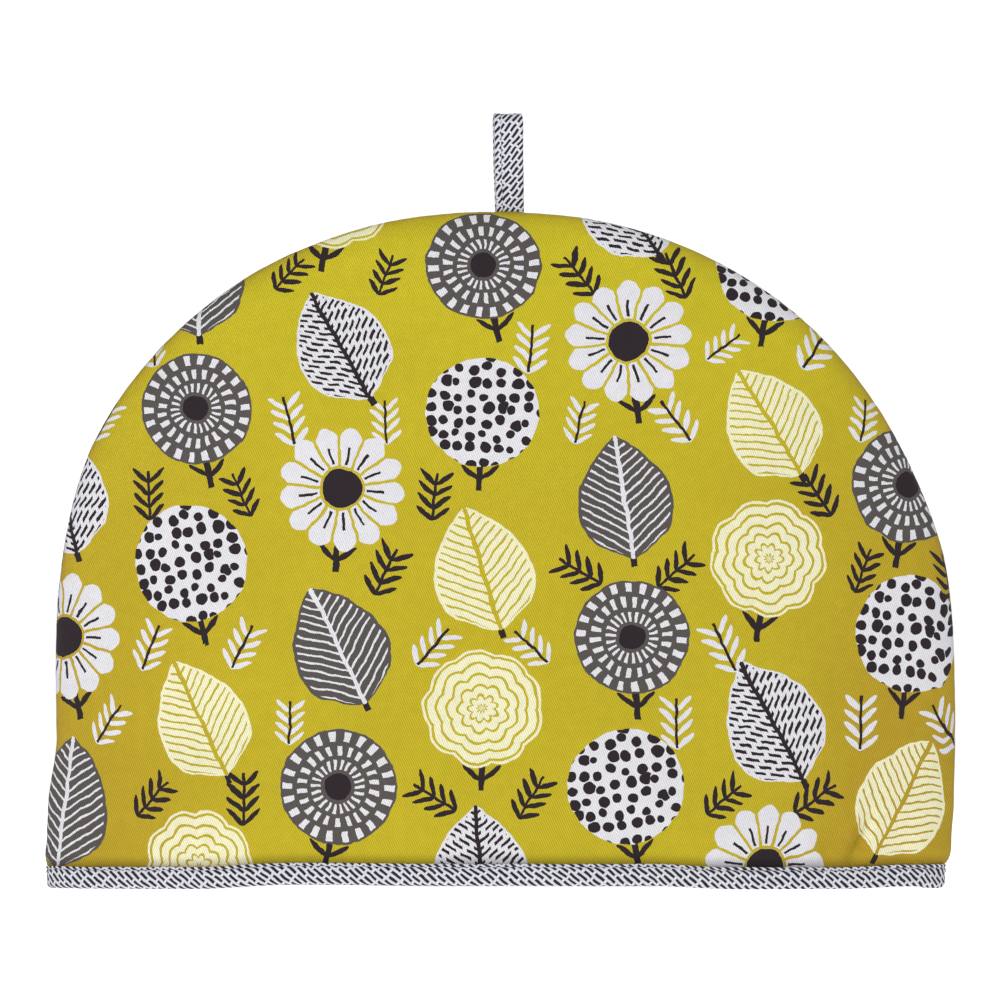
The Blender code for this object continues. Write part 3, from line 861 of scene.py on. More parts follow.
# %% Lay the motifs out on the flat cloth
COLUMN_PITCH, ROW_PITCH = 54.0, 57.0
COLUMNS_EACH_WAY, ROWS_UP = 4, 6
MOTIF_KINDS = 7
LEAF_KINDS = (0, 1, 6)
PLACE_JITTER = 1.7
HEAD_TURN, LEAF_TURN, SPRIG_TURN = 13.0, 34.0, 60.0
MOTIF_SIZES, SPRIG_SIZES = (0.95, 1.03), (0.85, 1.1)
PRINT_SHIFT = {"front": (-7.0, 7.0), "back": (23.0, 17.0)}
PRINT_SEED = 7
SPRIG_LOWEST, SPRIG_HIGHEST = 24.0, 236.0

Motif = namedtuple("Motif", "centre turn mirror size kind")


def flat_lattice(side):
    """The half-drop lattice's points on one panel, with their column and row."""
    for column in range(-COLUMNS_EACH_WAY, COLUMNS_EACH_WAY + 1):
        for row in range(-1, ROWS_UP):
            drop = ROW_PITCH / 2 if column % 2 else 0.0
            place = (column * COLUMN_PITCH, row * ROW_PITCH + drop)
            yield column, row, np.array(place) + PRINT_SHIFT[side]


def lay_out_motifs(side):
    """The large motifs, each with a small turn of its own."""
    chance = np.random.default_rng(PRINT_SEED)
    motifs = []
    for column, row, centre in flat_lattice(side):
        kind = (2 * column + 3 * row) % MOTIF_KINDS
        most = LEAF_TURN if kind in LEAF_KINDS else HEAD_TURN
        turn = math.radians(chance.uniform(-most, most))
        mirror = chance.choice([-1.0, 1.0])
        size = chance.uniform(*MOTIF_SIZES)
        jitter = chance.uniform(-PLACE_JITTER, PLACE_JITTER, 2)
        motifs.append(Motif(centre + jitter, turn, mirror, size, kind))
    return motifs


def lay_out_sprigs(side):
    """Small sprigs in the gaps that three motifs leave between them. One gap in five stays empty."""
    chance = np.random.default_rng(PRINT_SEED + 1)
    sprigs = []
    for column, row, centre in flat_lattice(side):
        for hand in (-1, 1):
            gap = centre + (COLUMN_PITCH * hand / 3, ROW_PITCH / 2)
            turn = math.radians(chance.uniform(-SPRIG_TURN, SPRIG_TURN))
            if not SPRIG_LOWEST < gap[1] < SPRIG_HIGHEST or (column + 2 * row + hand) % 5 == 0:
                continue
            sprigs.append(Motif(gap, turn, 1.0, chance.uniform(*SPRIG_SIZES), (column + row) % 2))
    return sprigs


# %% Tell each face its motif
KIND_CHANCE, KIND_CHANCE_STEP = 0.4, 37.0


def mark_motifs(panel, name, motifs):
    """Gives each corner its motif's own coordinates, and the motif's kind with a small chance part, by
    which two motifs of a kind differ."""
    mesh = panel.data
    flat = np.zeros(len(mesh.loops) * 2, dtype=np.float32)
    mesh.uv_layers["cloth"].data.foreach_get("uv", flat)
    flat = flat.reshape(-1, 2).astype(float)
    centres = flat.reshape(-1, 4, 2).mean(axis=1)
    apart = np.stack([np.linalg.norm(centres - motif.centre, axis=1) for motif in motifs])
    nearest = np.repeat(apart.argmin(axis=0), 4)
    place, turn, mirror, size, kind = (np.array(column)[nearest] for column in zip(*motifs))
    x, y = (flat - place).T
    along = (x * np.cos(turn) + y * np.sin(turn)) / size * mirror
    up = (y * np.cos(turn) - x * np.sin(turn)) / size
    kind = kind + KIND_CHANCE * np.sin(KIND_CHANCE_STEP * nearest)
    layer = mesh.attributes.new(name, "FLOAT_VECTOR", "CORNER")
    layer.data.foreach_set("vector", np.column_stack([along, up, kind]).astype(np.float32).ravel())
    print(mesh.name, name, len(motifs))


for panel, side in ((front_panel, "front"), (back_panel, "back")):
    mark_motifs(panel, "motif", lay_out_motifs(side))
    mark_motifs(panel, "sprig", lay_out_sprigs(side))

# %% [markdown]
# ## Colours and nodes
#
# The cloth is printed in few inks, as furnishing cottons are. Each ink is one sRGB hex value, which the
# shader needs as linear light.

# %% The inks
def linear(hex_colour):
    """An sRGB hex colour as linear RGBA."""
    parts = [int(hex_colour[i : i + 2], 16) / 255 for i in (0, 2, 4)]
    return (*[c / 12.92 if c <= 0.04045 else ((c + 0.055) / 1.055) ** 2.4 for c in parts], 1.0)


MUSTARD = linear("c7b924")
# The second mustard is painted shade: a browner tone laid on low down, at the sides and at the seam.
MUSTARD_IN_PAINTED_SHADE = linear("b69926")
INK_WHITE = linear("e2e1e6")
INK_BLACK = linear("2b2227")
INK_CHARCOAL = linear("57524f")
INK_CREAM = linear("efecc6")
print("mustard as linear light:", np.round(MUSTARD, 3))

# %% [markdown]
# Every node is added by the one helper below. Its kind is Blender's name for the type of node, without
# the "ShaderNode" in front, and what the node does is written after a dot. The helper hands back a socket
# and not the node, so that one node's result can be written straight into the next, as in a formula.

# %% A helper that adds one node
CHOICE = {"Math": "operation", "VectorMath": "operation", "Mix": "data_type"}
CHOICE["MapRange"] = "interpolation_type"


def add(tree, kind, *values, **named):
    """One node. Each value feeds the next of its inputs in use, and may be a number, a colour or a socket.
    A name with a capital is an input too, and any other name is a setting of the node. What comes back is
    the node's first output in use."""
    kind, _, choice = kind.partition(".")
    node = tree.nodes.new("ShaderNode" + kind)
    if choice:
        setattr(node, CHOICE[kind], choice)
    for name in [each for each in named if each[0].islower()]:
        setattr(node, name, named.pop(name))
    feeds = list(zip([socket for socket in node.inputs if socket.enabled], values))
    feeds += [(node.inputs[name], value) for name, value in named.items()]
    for socket, value in feeds:
        if isinstance(value, bpy.types.NodeSocket):
            tree.links.new(value, socket)
        else:
            socket.default_value = value
    return next(socket for socket in node.outputs if socket.enabled)


# %% [markdown]
# ## Drawing the motifs
#
# The design looks cut by hand: no edge is quite straight. Two noises push the coordinates of every motif
# about by up to a millimetre before anything is drawn, so all shapes share that wobble.

# %% A motif's own coordinates
WOBBLE, WOBBLE_LENGTH = 1.1, 9.0
NICK, NICK_LENGTH = 0.35, 2.2
KIND_SPREAD = 97.0
EDGE_SOFT = 0.1


def pushed(tree, place, noise_place, length, amounts):
    """A place pushed both ways by up to these amounts, by a noise with waves of this length."""
    wave = add(tree, "TexNoise", noise_place, Scale=1.0 / length, Detail=1.0).node.outputs["Color"]
    centred = add(tree, "VectorMath.SUBTRACT", wave, (0.5, 0.5, 0.5))
    both_ways = [2.0 * amount for amount in amounts]
    return add(tree, "VectorMath.MULTIPLY_ADD", centred, both_ways, place)


def hand_cut_place(tree, attribute):
    """The sockets x, y and kind of a motif, with its edges made uneven. The kind spreads the motifs over
    the noise, so that each is cut differently."""
    place = add(tree, "Attribute", attribute_name=attribute).node.outputs["Vector"]
    spread = add(tree, "VectorMath.MULTIPLY", place, (1.0, 1.0, KIND_SPREAD))
    place = pushed(tree, place, spread, WOBBLE_LENGTH, (WOBBLE, WOBBLE, 0.0))
    place = pushed(tree, place, spread, NICK_LENGTH, (NICK, NICK, 0.0))
    return add(tree, "SeparateXYZ", place).node.outputs


def ink_edge(tree, inside):
    """1 inside an edge and 0 outside it, over a tenth of a millimetre to both sides."""
    return add(tree, "MapRange", inside, -EDGE_SOFT, EDGE_SOFT)


# %% [markdown]
# ### Leaves
#
# A leaf is widest a little below its middle. Its half-width along its length is a Float Curve, which can
# be bent by hand in the node editor. What is left of the half-width beside a point tells how far inside
# the edge it is. The veins slant because the coordinate along the leaf slides with the distance from the
# midrib.

# %% The leaf's outline
LEAF_HALF_LENGTH = 24.8
LEAF_HALF_WIDTH = 19.0
LEAF_OUTLINE = ((0.0, 0.0), (0.08, 0.42), (0.3, 0.95), (0.48, 0.97), (0.75, 0.66), (0.93, 0.22), (1.0, 0.0))
VEIN_SLANT = 0.75
MIDRIB_HALF = 0.8


def leaf_place(tree, x, y):
    """How far inside the leaf's edge a point is, whether it is on the midrib, its distance from the
    midrib, and a coordinate that is level along each slanting vein."""
    along = add(tree, "MapRange", y, -LEAF_HALF_LENGTH, LEAF_HALF_LENGTH)
    outline = add(tree, "FloatCurve", Value=along)
    points = outline.node.mapping.curves[0].points
    for place, width in LEAF_OUTLINE[1:-1]:
        points.new(place, width)
    points[0].location, points[-1].location = LEAF_OUTLINE[0], LEAF_OUTLINE[-1]
    outline.node.mapping.update()
    beside = add(tree, "Math.ABSOLUTE", x)
    reach = add(tree, "Math.MULTIPLY_ADD", outline, LEAF_HALF_WIDTH, -2 * EDGE_SOFT)
    inside = add(tree, "Math.SUBTRACT", reach, beside)
    rib = add(tree, "Math.LESS_THAN", beside, MIDRIB_HALF)
    return inside, rib, beside, add(tree, "Math.MULTIPLY_ADD", beside, -VEIN_SLANT, y)


# %% [markdown]
# The white leaf is filled with short black dashes that follow its veins. A Brick Texture draws them: its
# bricks are the dashes and its mortar the white between them. The first two colours are the bricks', and
# both are the same ink.

# %% White leaf with dashes
DASH_MARGIN = 1.0
DASH_BRICKS = {"Brick Width": 5.2, "Row Height": 2.8, "Mortar Size": 0.72, "Mortar Smooth": 0.0}


def draw_white_leaf(tree, leaf):
    """The leaf's shape, and its colours: white with rows of black dashes and a black midrib."""
    inside, rib, beside, slid = leaf
    spot = add(tree, "CombineXYZ", beside, slid)
    dashes = add(tree, "TexBrick", spot, INK_BLACK, INK_BLACK, INK_WHITE, 1.0, **DASH_BRICKS)
    margin = add(tree, "Math.GREATER_THAN", inside, DASH_MARGIN)
    filled = add(tree, "Mix.RGBA", margin, INK_WHITE, dashes)
    return ink_edge(tree, inside), add(tree, "Mix.RGBA", rib, filled, INK_BLACK)


# %% [markdown]
# The charcoal leaf is the other way round: thin white veins on dark, from the midrib nearly to the edge.
# Ping-pong folds the slid coordinate into a zigzag, whose low points are the veins. The cream leaf is
# drawn the same way, and its veins are bare cloth.

# %% Leaves with veins
VEIN_PITCH, VEIN_HALF = 3.7, 0.48
VEIN_MARGIN = 1.3


def draw_veined_leaf(tree, leaf, body, line):
    """The leaf's shape, and its colours: one for its body, and one for its midrib and veins."""
    inside, rib, _, slid = leaf
    zigzag = add(tree, "Math.PINGPONG", slid, VEIN_PITCH / 2)
    vein = add(tree, "Math.LESS_THAN", zigzag, VEIN_HALF)
    margin = add(tree, "Math.GREATER_THAN", inside, VEIN_MARGIN)
    lines = add(tree, "Math.MULTIPLY_ADD", vein, margin, rib)
    return ink_edge(tree, inside), add(tree, "Mix.RGBA", lines, body, line)


# %% [markdown]
# ### Round heads
#
# The flowers and seed heads sit above the middle of their place, which leaves room for a stem. They are
# drawn in polar coordinates: the distance from the head's centre, and the turn about it.

# %% Polar coordinates of a head
HEAD_RISE = 3.8
HEAD_RADIUS = 22.0


def head_place(tree, x, y):
    """A point of a head: its distance from the centre, its turn from 0 to 1, and its place."""
    lowered = add(tree, "Math.SUBTRACT", y, HEAD_RISE)
    spot = add(tree, "CombineXYZ", x, lowered)
    angle = add(tree, "Math.ARCTAN2", lowered, x)
    turn = add(tree, "Math.MULTIPLY_ADD", angle, 1.0 / math.tau, 0.5)
    return add(tree, "VectorMath.LENGTH", spot), turn, spot


def disc(tree, radius, distance):
    """1 on a round shape of this radius."""
    return ink_edge(tree, add(tree, "Math.SUBTRACT", radius, distance))


# %% [markdown]
# The seed head is a white disc with black seeds. A Voronoi texture scatters points evenly, and the
# distance to the nearest one makes each point a dot, larger or smaller by the cell's own chance colour.

# %% Seed head
SEED_PITCH = 5.4
SEED_LEAST, SEED_MOST = 0.27, 0.45
SEED_SCATTER = 0.5


def draw_seed_head(tree, head):
    """The head's shape, and its colours: white, strewn with black seeds."""
    distance, _, spot = head
    near = add(tree, "TexVoronoi", spot, voronoi_dimensions="2D",
               Scale=1.0 / SEED_PITCH, Randomness=SEED_SCATTER)
    chance = add(tree, "SeparateColor", near.node.outputs["Color"])
    size = add(tree, "MapRange", chance, 0.0, 1.0, SEED_LEAST, SEED_MOST)
    seed = add(tree, "Math.LESS_THAN", near, size)
    return disc(tree, HEAD_RADIUS, distance), add(tree, "Mix.RGBA", seed, INK_WHITE, INK_BLACK)


# %% [markdown]
# The daisy's white petals are a fan of equal sectors with a gap of bare cloth between them, each with a
# short dark stroke. Its centre is dark with a ring of cloth round it.

# %% Daisy
PETALS = 13
PETAL_GAP = 0.55
PETAL_ROUND = 4.2
DAISY_RADIUS = 23.5
DAISY_CENTRE, DAISY_RING = 7.4, 1.0
STROKE_HALF, STROKE_MIDDLE, STROKE_REACH = 0.5, 12.5, 3.4


def draw_daisy(tree, head):
    """The daisy's shape, and its colours: white, with a dark centre and a stroke on each petal."""
    distance, turn, _ = head
    fan = add(tree, "Math.MULTIPLY", turn, PETALS)
    off_gap = add(tree, "Math.PINGPONG", fan, 0.5)
    off_middle = add(tree, "Math.SUBTRACT", 0.5, off_gap)
    arc = add(tree, "Math.MULTIPLY", distance, math.tau / PETALS)
    beside_gap = add(tree, "Math.MULTIPLY_ADD", off_gap, arc, -PETAL_GAP)
    squared = add(tree, "Math.POWER", off_middle, 2.0)
    tip = add(tree, "Math.MULTIPLY_ADD", squared, -4.0 * PETAL_ROUND, DAISY_RADIUS)
    below_tip = add(tree, "Math.SUBTRACT", tip, distance)
    above_ring = add(tree, "Math.SUBTRACT", distance, DAISY_CENTRE + DAISY_RING)
    petal = add(tree, "Math.MINIMUM", beside_gap, below_tip)
    petal = add(tree, "Math.MINIMUM", petal, above_ring)
    centre = add(tree, "Math.SUBTRACT", DAISY_CENTRE, distance)
    inside = add(tree, "Math.MAXIMUM", petal, centre)
    beside = add(tree, "Math.MULTIPLY", off_middle, arc)
    thin = add(tree, "Math.LESS_THAN", beside, STROKE_HALF)
    short = add(tree, "Math.COMPARE", distance, STROKE_MIDDLE, STROKE_REACH)
    core = add(tree, "Math.LESS_THAN", distance, DAISY_CENTRE)
    dark = add(tree, "Math.MULTIPLY_ADD", thin, short, core)
    return ink_edge(tree, inside), add(tree, "Mix.RGBA", dark, INK_WHITE, INK_BLACK)


# %% [markdown]
# The dark flower is a charcoal disc with rings of white florets: a Brick Texture again, now with the turn
# along its rows and the distance across them, so that each brick becomes a stroke that points outwards.

# %% Dark flower
FLORETS = 22
FLORET_BRICKS = {"Brick Width": 3.0, "Row Height": 5.5, "Mortar Size": 0.86, "Mortar Smooth": 0.0}
EYE_RADIUS = 5.0


def draw_dark_flower(tree, head):
    """The flower's shape, and its colours: charcoal with white florets and a black eye."""
    distance, turn, _ = head
    along = add(tree, "Math.MULTIPLY", turn, FLORETS * FLORET_BRICKS["Brick Width"])
    spot = add(tree, "CombineXYZ", along, distance)
    florets = add(tree, "TexBrick", spot, INK_WHITE, INK_WHITE, INK_CHARCOAL, 1.0, **FLORET_BRICKS)
    eye = add(tree, "Math.LESS_THAN", distance, EYE_RADIUS)
    return disc(tree, HEAD_RADIUS, distance), add(tree, "Mix.RGBA", eye, florets, INK_BLACK)


# %% [markdown]
# The cream flower is many rows of scalloped petals, with lines of bare cloth between them. A wave round
# the head turns plain rings into scallops.

# %% Cream flower
SCALLOPS = 9
SCALLOP_DEPTH = 1.7
SCALLOP_PITCH = 3.9
SCALLOP_LINE = 0.5
SCALLOP_RADIUS = 21.0


def draw_cream_flower(tree, head, ground):
    """The flower's shape, and its colours: cream with scalloped lines of the ground."""
    distance, turn, _ = head
    wave = add(tree, "Math.MULTIPLY", turn, math.pi * SCALLOPS)
    arch = add(tree, "Math.ABSOLUTE", add(tree, "Math.SINE", wave))
    ring = add(tree, "Math.MULTIPLY_ADD", arch, -SCALLOP_DEPTH, distance)
    zigzag = add(tree, "Math.PINGPONG", ring, SCALLOP_PITCH / 2)
    line = add(tree, "Math.LESS_THAN", zigzag, SCALLOP_LINE)
    return disc(tree, SCALLOP_RADIUS, ring), add(tree, "Mix.RGBA", line, INK_CREAM, ground)


# %% [markdown]
# ### Stems and sprigs
#
# Every motif stands on a short dark stem, and small sprigs fill the gaps. A sprig's leaves are one small
# ellipse, repeated by folding the coordinates: the distance from the stem mirrors it, and ping-pong along
# the stem repeats it.

# %% Stems and sprigs
STEM_HALF, STEM_MIDDLE, STEM_REACH = 1.2, -22.5, 5.5
STEM_LEAF = (3.6, 1.35, 1.0)
STEM_LEAF_OUT, STEM_LEAF_LOW = 3.6, 23.5
SPRIG_STEM_HALF = 0.55
SPRIG_LEAF = (3.2, 1.3, 1.0)
SPRIG_LEAF_OUT, SPRIG_LEAF_PITCH = 3.0, 4.6
SPRIG_HALF_LENGTH = 9.2
LEAF_RISE = 0.8


def stalk(tree, beside, y, half, middle, reach):
    """1 on a straight stalk of this half-width, which reaches this far to both sides of its middle."""
    thin = add(tree, "Math.LESS_THAN", beside, half)
    near = add(tree, "Math.COMPARE", y, middle, reach)
    return add(tree, "Math.MULTIPLY", thin, near)


def leaflet(tree, beside, out, rise, radii):
    """1 inside an ellipse this far out from the stem."""
    spot = add(tree, "CombineXYZ", add(tree, "Math.SUBTRACT", beside, out), rise)
    far = add(tree, "VectorMath.LENGTH", add(tree, "VectorMath.DIVIDE", spot, radii))
    return add(tree, "Math.LESS_THAN", far, 1.0)


def draw_stem(tree, x, y):
    """1 on the stem below a motif's middle, and on the pair of leaves near its foot."""
    beside = add(tree, "Math.ABSOLUTE", x)
    stem = stalk(tree, beside, y, STEM_HALF, STEM_MIDDLE, STEM_REACH)
    raised = add(tree, "Math.ADD", y, STEM_LEAF_LOW)
    rise = add(tree, "Math.MULTIPLY_ADD", beside, -LEAF_RISE, raised)
    leaf = leaflet(tree, beside, STEM_LEAF_OUT, rise, STEM_LEAF)
    return add(tree, "Math.MAXIMUM", stem, leaf)


def draw_sprig(tree, x, y):
    """1 on a sprig's stem, and 1 on its leaves."""
    beside = add(tree, "Math.ABSOLUTE", x)
    stem = stalk(tree, beside, y, SPRIG_STEM_HALF, 0.0, SPRIG_HALF_LENGTH)
    rise = add(tree, "Math.MULTIPLY_ADD", beside, -LEAF_RISE, y)
    kept = add(tree, "Math.COMPARE", rise, -SPRIG_LEAF_PITCH / 2, SPRIG_HALF_LENGTH)
    fold = add(tree, "Math.PINGPONG", rise, SPRIG_LEAF_PITCH / 2)
    leaf = leaflet(tree, beside, SPRIG_LEAF_OUT, fold, SPRIG_LEAF)
    return stem, add(tree, "Math.MULTIPLY", leaf, kept)


# %% [markdown]
# ## Cloth as a material
#
# Cotton is matt, with a faint sheen of loose fibres. What differs from one cloth to the next is its
# colour, its weave and a few plain values on the shader. Dye and yarn are never quite even, and slow and
# fast noises tint the colour for that.

# %% What all the materials share
NOISE_LOW, NOISE_HIGH = 0.3, 0.7

Tint = namedtuple("Tint", "length detail least most")


def shaded(name, values):
    """A new material whose shader has these plain values."""
    material = bpy.data.materials.new(name)
    material.use_nodes = True
    shader = material.node_tree.nodes["Principled BSDF"]
    for key, value in values.items():
        shader.inputs[key].default_value = value
    return material


def tinted(tree, colour, flat, tint):
    """The colour made lighter and darker by a noise on the cloth, and the noise itself."""
    wave = add(tree, "TexNoise", flat, Scale=1.0 / tint.length, Detail=tint.detail)
    share = add(tree, "MapRange", wave, NOISE_LOW, NOISE_HIGH, tint.least, tint.most)
    return add(tree, "VectorMath.SCALE", colour, share), wave


def finish_cloth(material, colour, height, depth, strength):
    """Gives the cloth its colour, and a bump of this depth in millimetres."""
    tree = material.node_tree
    bump = add(tree, "Bump", Height=height, Distance=depth * MM, Strength=strength)
    shader = tree.nodes["Principled BSDF"]
    tree.links.new(colour, shader.inputs["Base Color"])
    tree.links.new(bump, shader.inputs["Normal"])
    print(material.name, len(tree.nodes), "nodes")
    return material


# %% [markdown]
# ## The printed twill
#
# Cotton twill has fine slanting ribs. Here they are 0.78 mm apart and run steeply up to the left. Wave
# Texture draws them; its Bands repeat 20 / tau times a unit, which the scale undoes. The yarns are never
# quite even, so the wave is distorted a little. The same ribs tint the colour and raise the bump. Bare
# cloth shows them more than the ink that lies on top of it.

# %% Twill ribs
TWILL_PITCH = 0.78
TWILL_NORMAL = math.radians(23.0)
BANDS_PER_UNIT = 20.0 / math.tau
YARNS = {"Distortion": 0.9, "Detail": 2.0, "Detail Scale": 1.5, "Detail Roughness": 0.6}


def twill_ribs(tree, flat):
    """The height of the ribs, 0 to 1, from the flat-cloth coordinates."""
    turned = add(tree, "Mapping", flat, Rotation=(0.0, 0.0, -TWILL_NORMAL))
    ribs = add(tree, "TexWave", turned, Scale=1.0 / (TWILL_PITCH * BANDS_PER_UNIT), **YARNS)
    return ribs.node.outputs["Fac"]


# %% [markdown]
# Each motif is a shape and a colour. They are laid over the ground one after the other, as the printer's
# screens lay down the inks, and only the motif whose number the face carries shows.

# %% Draw the print
def draw_print(tree, ground):
    """The ground's colour with the sprigs, the stems and the motifs over it."""
    x, y, kind = hand_cut_place(tree, "sprig")
    stem, leaf = draw_sprig(tree, x, y)
    pale = add(tree, "Math.COMPARE", kind, 1.0, 0.5)
    ink = add(tree, "Mix.RGBA", pale, INK_BLACK, INK_WHITE)
    x, y, kind = hand_cut_place(tree, "motif")
    layers = [(leaf, ink), (stem, INK_BLACK), (draw_stem(tree, x, y), INK_BLACK)]
    leaf = leaf_place(tree, x, y)
    head = head_place(tree, x, y)
    drawings = (
        draw_white_leaf(tree, leaf),
        draw_veined_leaf(tree, leaf, INK_CHARCOAL, INK_WHITE),
        draw_seed_head(tree, head),
        draw_cream_flower(tree, head, ground),
        draw_daisy(tree, head),
        draw_dark_flower(tree, head),
        draw_veined_leaf(tree, leaf, INK_CREAM, ground),
    )
    for number, (mask, drawing) in enumerate(drawings):
        chosen = add(tree, "Math.COMPARE", kind, number, 0.5)
        layers.append((add(tree, "Math.MULTIPLY", chosen, mask), drawing))
    colour = ground
    for mask, drawing in layers:
        colour = add(tree, "Mix.RGBA", mask, colour, drawing)
    return colour


# %% Assemble the printed cloth
BARE_RIBS, ALL_RIBS = (0.93, 1.06), (0.82, 1.1)
DYE = Tint(45.0, 3.0, 0.97, 1.03)
BLOTCHES = Tint(4.5, 1.0, 0.972, 1.028)
SLUBS = Tint(0.5, 1.0, 0.94, 1.06)
SLUB_BUMP = 0.5
TWILL_DEPTH, TWILL_STRENGTH = 0.09, 0.8
# The seam tone is painted shade: the colour darkens within a few millimetres of the seam and of the
# binding's top.
SEAM_SHADE, SEAM_SHADE_WIDTH = (0.62, 0.6, 0.62), 4.6
TWILL_VALUES = {"Roughness": 0.88, "Specular IOR Level": 0.22, "Sheen Weight": 0.03, "Sheen Roughness": 0.5}


def printed_twill():
    """Mustard cotton twill with the print on it: matt, with soft ribs that catch the side light."""
    material = shaded("mustard_cotton_twill", TWILL_VALUES)
    tree = material.node_tree
    flat = add(tree, "UVMap", uv_map="cloth")
    ribs = twill_ribs(tree, flat)
    # Painted shade: the mustard is mixed towards its browner shaded tone low down, at the sides and at the
    # seam.
    shade_share = add(tree, "Attribute", attribute_name="painted_shade").node.outputs["Fac"]
    ground_with_shade = add(tree, "Mix.RGBA", shade_share, MUSTARD, MUSTARD_IN_PAINTED_SHADE)
    ground = add(tree, "VectorMath.SCALE", ground_with_shade, add(tree, "MapRange", ribs, 0.0, 1.0, *BARE_RIBS))
    colour = draw_print(tree, ground)
    colour = add(tree, "VectorMath.SCALE", colour, add(tree, "MapRange", ribs, 0.0, 1.0, *ALL_RIBS))
    for tint in (DYE, BLOTCHES, SLUBS):
        colour, finest = tinted(tree, colour, flat, tint)
    # Painted shade along the seam and just above the binding.
    from_edge = add(tree, "Attribute", attribute_name="from_edge").node.outputs["Fac"]
    seam_shade_share = add(tree, "MapRange.SMOOTHSTEP", from_edge, SEAM_SHADE_WIDTH, 0.0)
    seam_shaded = add(tree, "VectorMath.MULTIPLY", colour, SEAM_SHADE)
    with_seam_shade = add(tree, "Mix.VECTOR", seam_shade_share, colour, seam_shaded)
    height = add(tree, "Math.MULTIPLY_ADD", finest, SLUB_BUMP, ribs)
    return finish_cloth(material, with_seam_shade, height, TWILL_DEPTH, TWILL_STRENGTH)


# %% [markdown]
# ## The dashed cotton
#
# The binding and the tape are cut from a second cotton, near-white with short dark dashes. Cut on the
# bias, its dashes slant across the strip. A Brick Texture lays them out, pushed about by a slow and a
# fast noise so that no two are the same. The stitches draw the cloth in, so the dashes above them don't
# run on from those below: there the pattern is shifted.

# %% Dashed cotton
CLOTH_LAVENDER = linear("d6d6df")
DASH_INK = linear("24242d")
FOLD_SHIFT = (2.9, 1.3, 0.0)
DASH_PUSHES = ((7.0, 0.75), (1.6, 0.16))
BIAS_BRICKS = {"Brick Width": 5.4, "Row Height": 1.98, "Mortar Size": 0.535, "Mortar Smooth": 0.25}
BIAS_BRICKS |= {"offset": 0.37, "squash": 0.85, "squash_frequency": 3}
PLAIN_WEAVE = Tint(0.6, 2.0, 0.93, 1.05)
DASHED_DEPTH, DASHED_STRENGTH = 0.04, 0.8
DASHED_VALUES = {"Roughness": 0.85, "Specular IOR Level": 0.25, "Sheen Weight": 0.03}


def dashed_cotton(name, slant, scale, stitch_at):
    """Near-white plain-weave cotton with slanting dashes: matt, and smoother than the twill."""
    material = shaded(name, DASHED_VALUES)
    tree = material.node_tree
    flat = add(tree, "UVMap", uv_map="cloth")
    from_fold = add(tree, "Math.ABSOLUTE", add(tree, "SeparateXYZ", flat).node.outputs["Y"])
    above = add(tree, "Math.GREATER_THAN", from_fold, stitch_at)
    place = add(tree, "VectorMath.MULTIPLY_ADD", above, FOLD_SHIFT, flat)
    for length, amount in DASH_PUSHES:
        place = pushed(tree, place, place, length, (amount,) * 3)
    turned = add(tree, "Mapping", place, Rotation=(0.0, 0.0, -slant))
    dashes = add(tree, "TexBrick", turned, DASH_INK, DASH_INK, CLOTH_LAVENDER, scale, **BIAS_BRICKS)
    colour, weave = tinted(tree, dashes, flat, PLAIN_WEAVE)
    return finish_cloth(material, colour, weave, DASHED_DEPTH, DASHED_STRENGTH)


# %% [markdown]
# The inside of the panels is plain undyed cotton. One noise as fine as its weave mixes two pale tones and
# raises the bump.

# %% Inner cotton
UNDYED_DARK, UNDYED_PALE = linear("d3cdb9"), linear("e4dfd0")
INNER_DEPTH, INNER_STRENGTH = 0.05, 1.0


def inner_cotton():
    """Undyed plain cotton for the inside of the panels: matt and slightly creamy."""
    material = shaded("undyed_cotton", {"Roughness": 0.9})
    tree = material.node_tree
    flat = add(tree, "UVMap", uv_map="cloth")
    weave = add(tree, "TexNoise", flat, Scale=1.0 / PLAIN_WEAVE.length, Detail=PLAIN_WEAVE.detail)
    colour = add(tree, "Mix.RGBA", weave, UNDYED_DARK, UNDYED_PALE)
    return finish_cloth(material, colour, weave, INNER_DEPTH, INNER_STRENGTH)


# %% Dress the pieces
BIAS_SLANT, TAPE_SLANT = math.radians(-39.0), math.radians(40.0)
TAPE_DASH_SCALE = 1.13
STITCH_UP_TAPE = TAPE_STITCH_FROM_EDGE - TAPE_CLOTH / 2

outer_cloth, inner_cloth = printed_twill(), inner_cotton()
for panel in (front_panel, back_panel):
    panel.data.materials.append(outer_cloth)
    panel.data.materials.append(inner_cloth)
hem_binding.data.materials.append(dashed_cotton("dashed_bias_cotton", BIAS_SLANT, 1.0, STITCH_UP_STRIP))
tape_cloth = dashed_cotton("dashed_tape_cotton", TAPE_SLANT, TAPE_DASH_SCALE, STITCH_UP_TAPE)
hanging_loop.data.materials.append(tape_cloth)

# %% [markdown]
# ## What each piece is
#
# The frame's solids stay in the physics model, and these pieces stand for them.

for piece, node in (
    (front_panel, "front_panel"),
    (back_panel, "back_panel"),
    (hem_binding, "hem_binding"),
    (hanging_loop, "hanging_loop"),
):
    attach(piece, "root")
    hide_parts(node)

# %% [markdown]
# ## Studio
#
# The photograph is a plain product shot from straight ahead: a long lens a good way off, a white table
# and white walls, one large soft lamp at the upper left in front, a weak one at the right, and one behind
# that lights the back.

# %% Camera
IMAGE_PIXELS = 1000
MM_PER_PIXEL = 0.3744
CAMERA_DISTANCE = 12.0
CLIP_END = 50.0
SENSOR = 36.0
VIEW_ACROSS = -0.0005
VIEW_HEIGHT = 0.1453

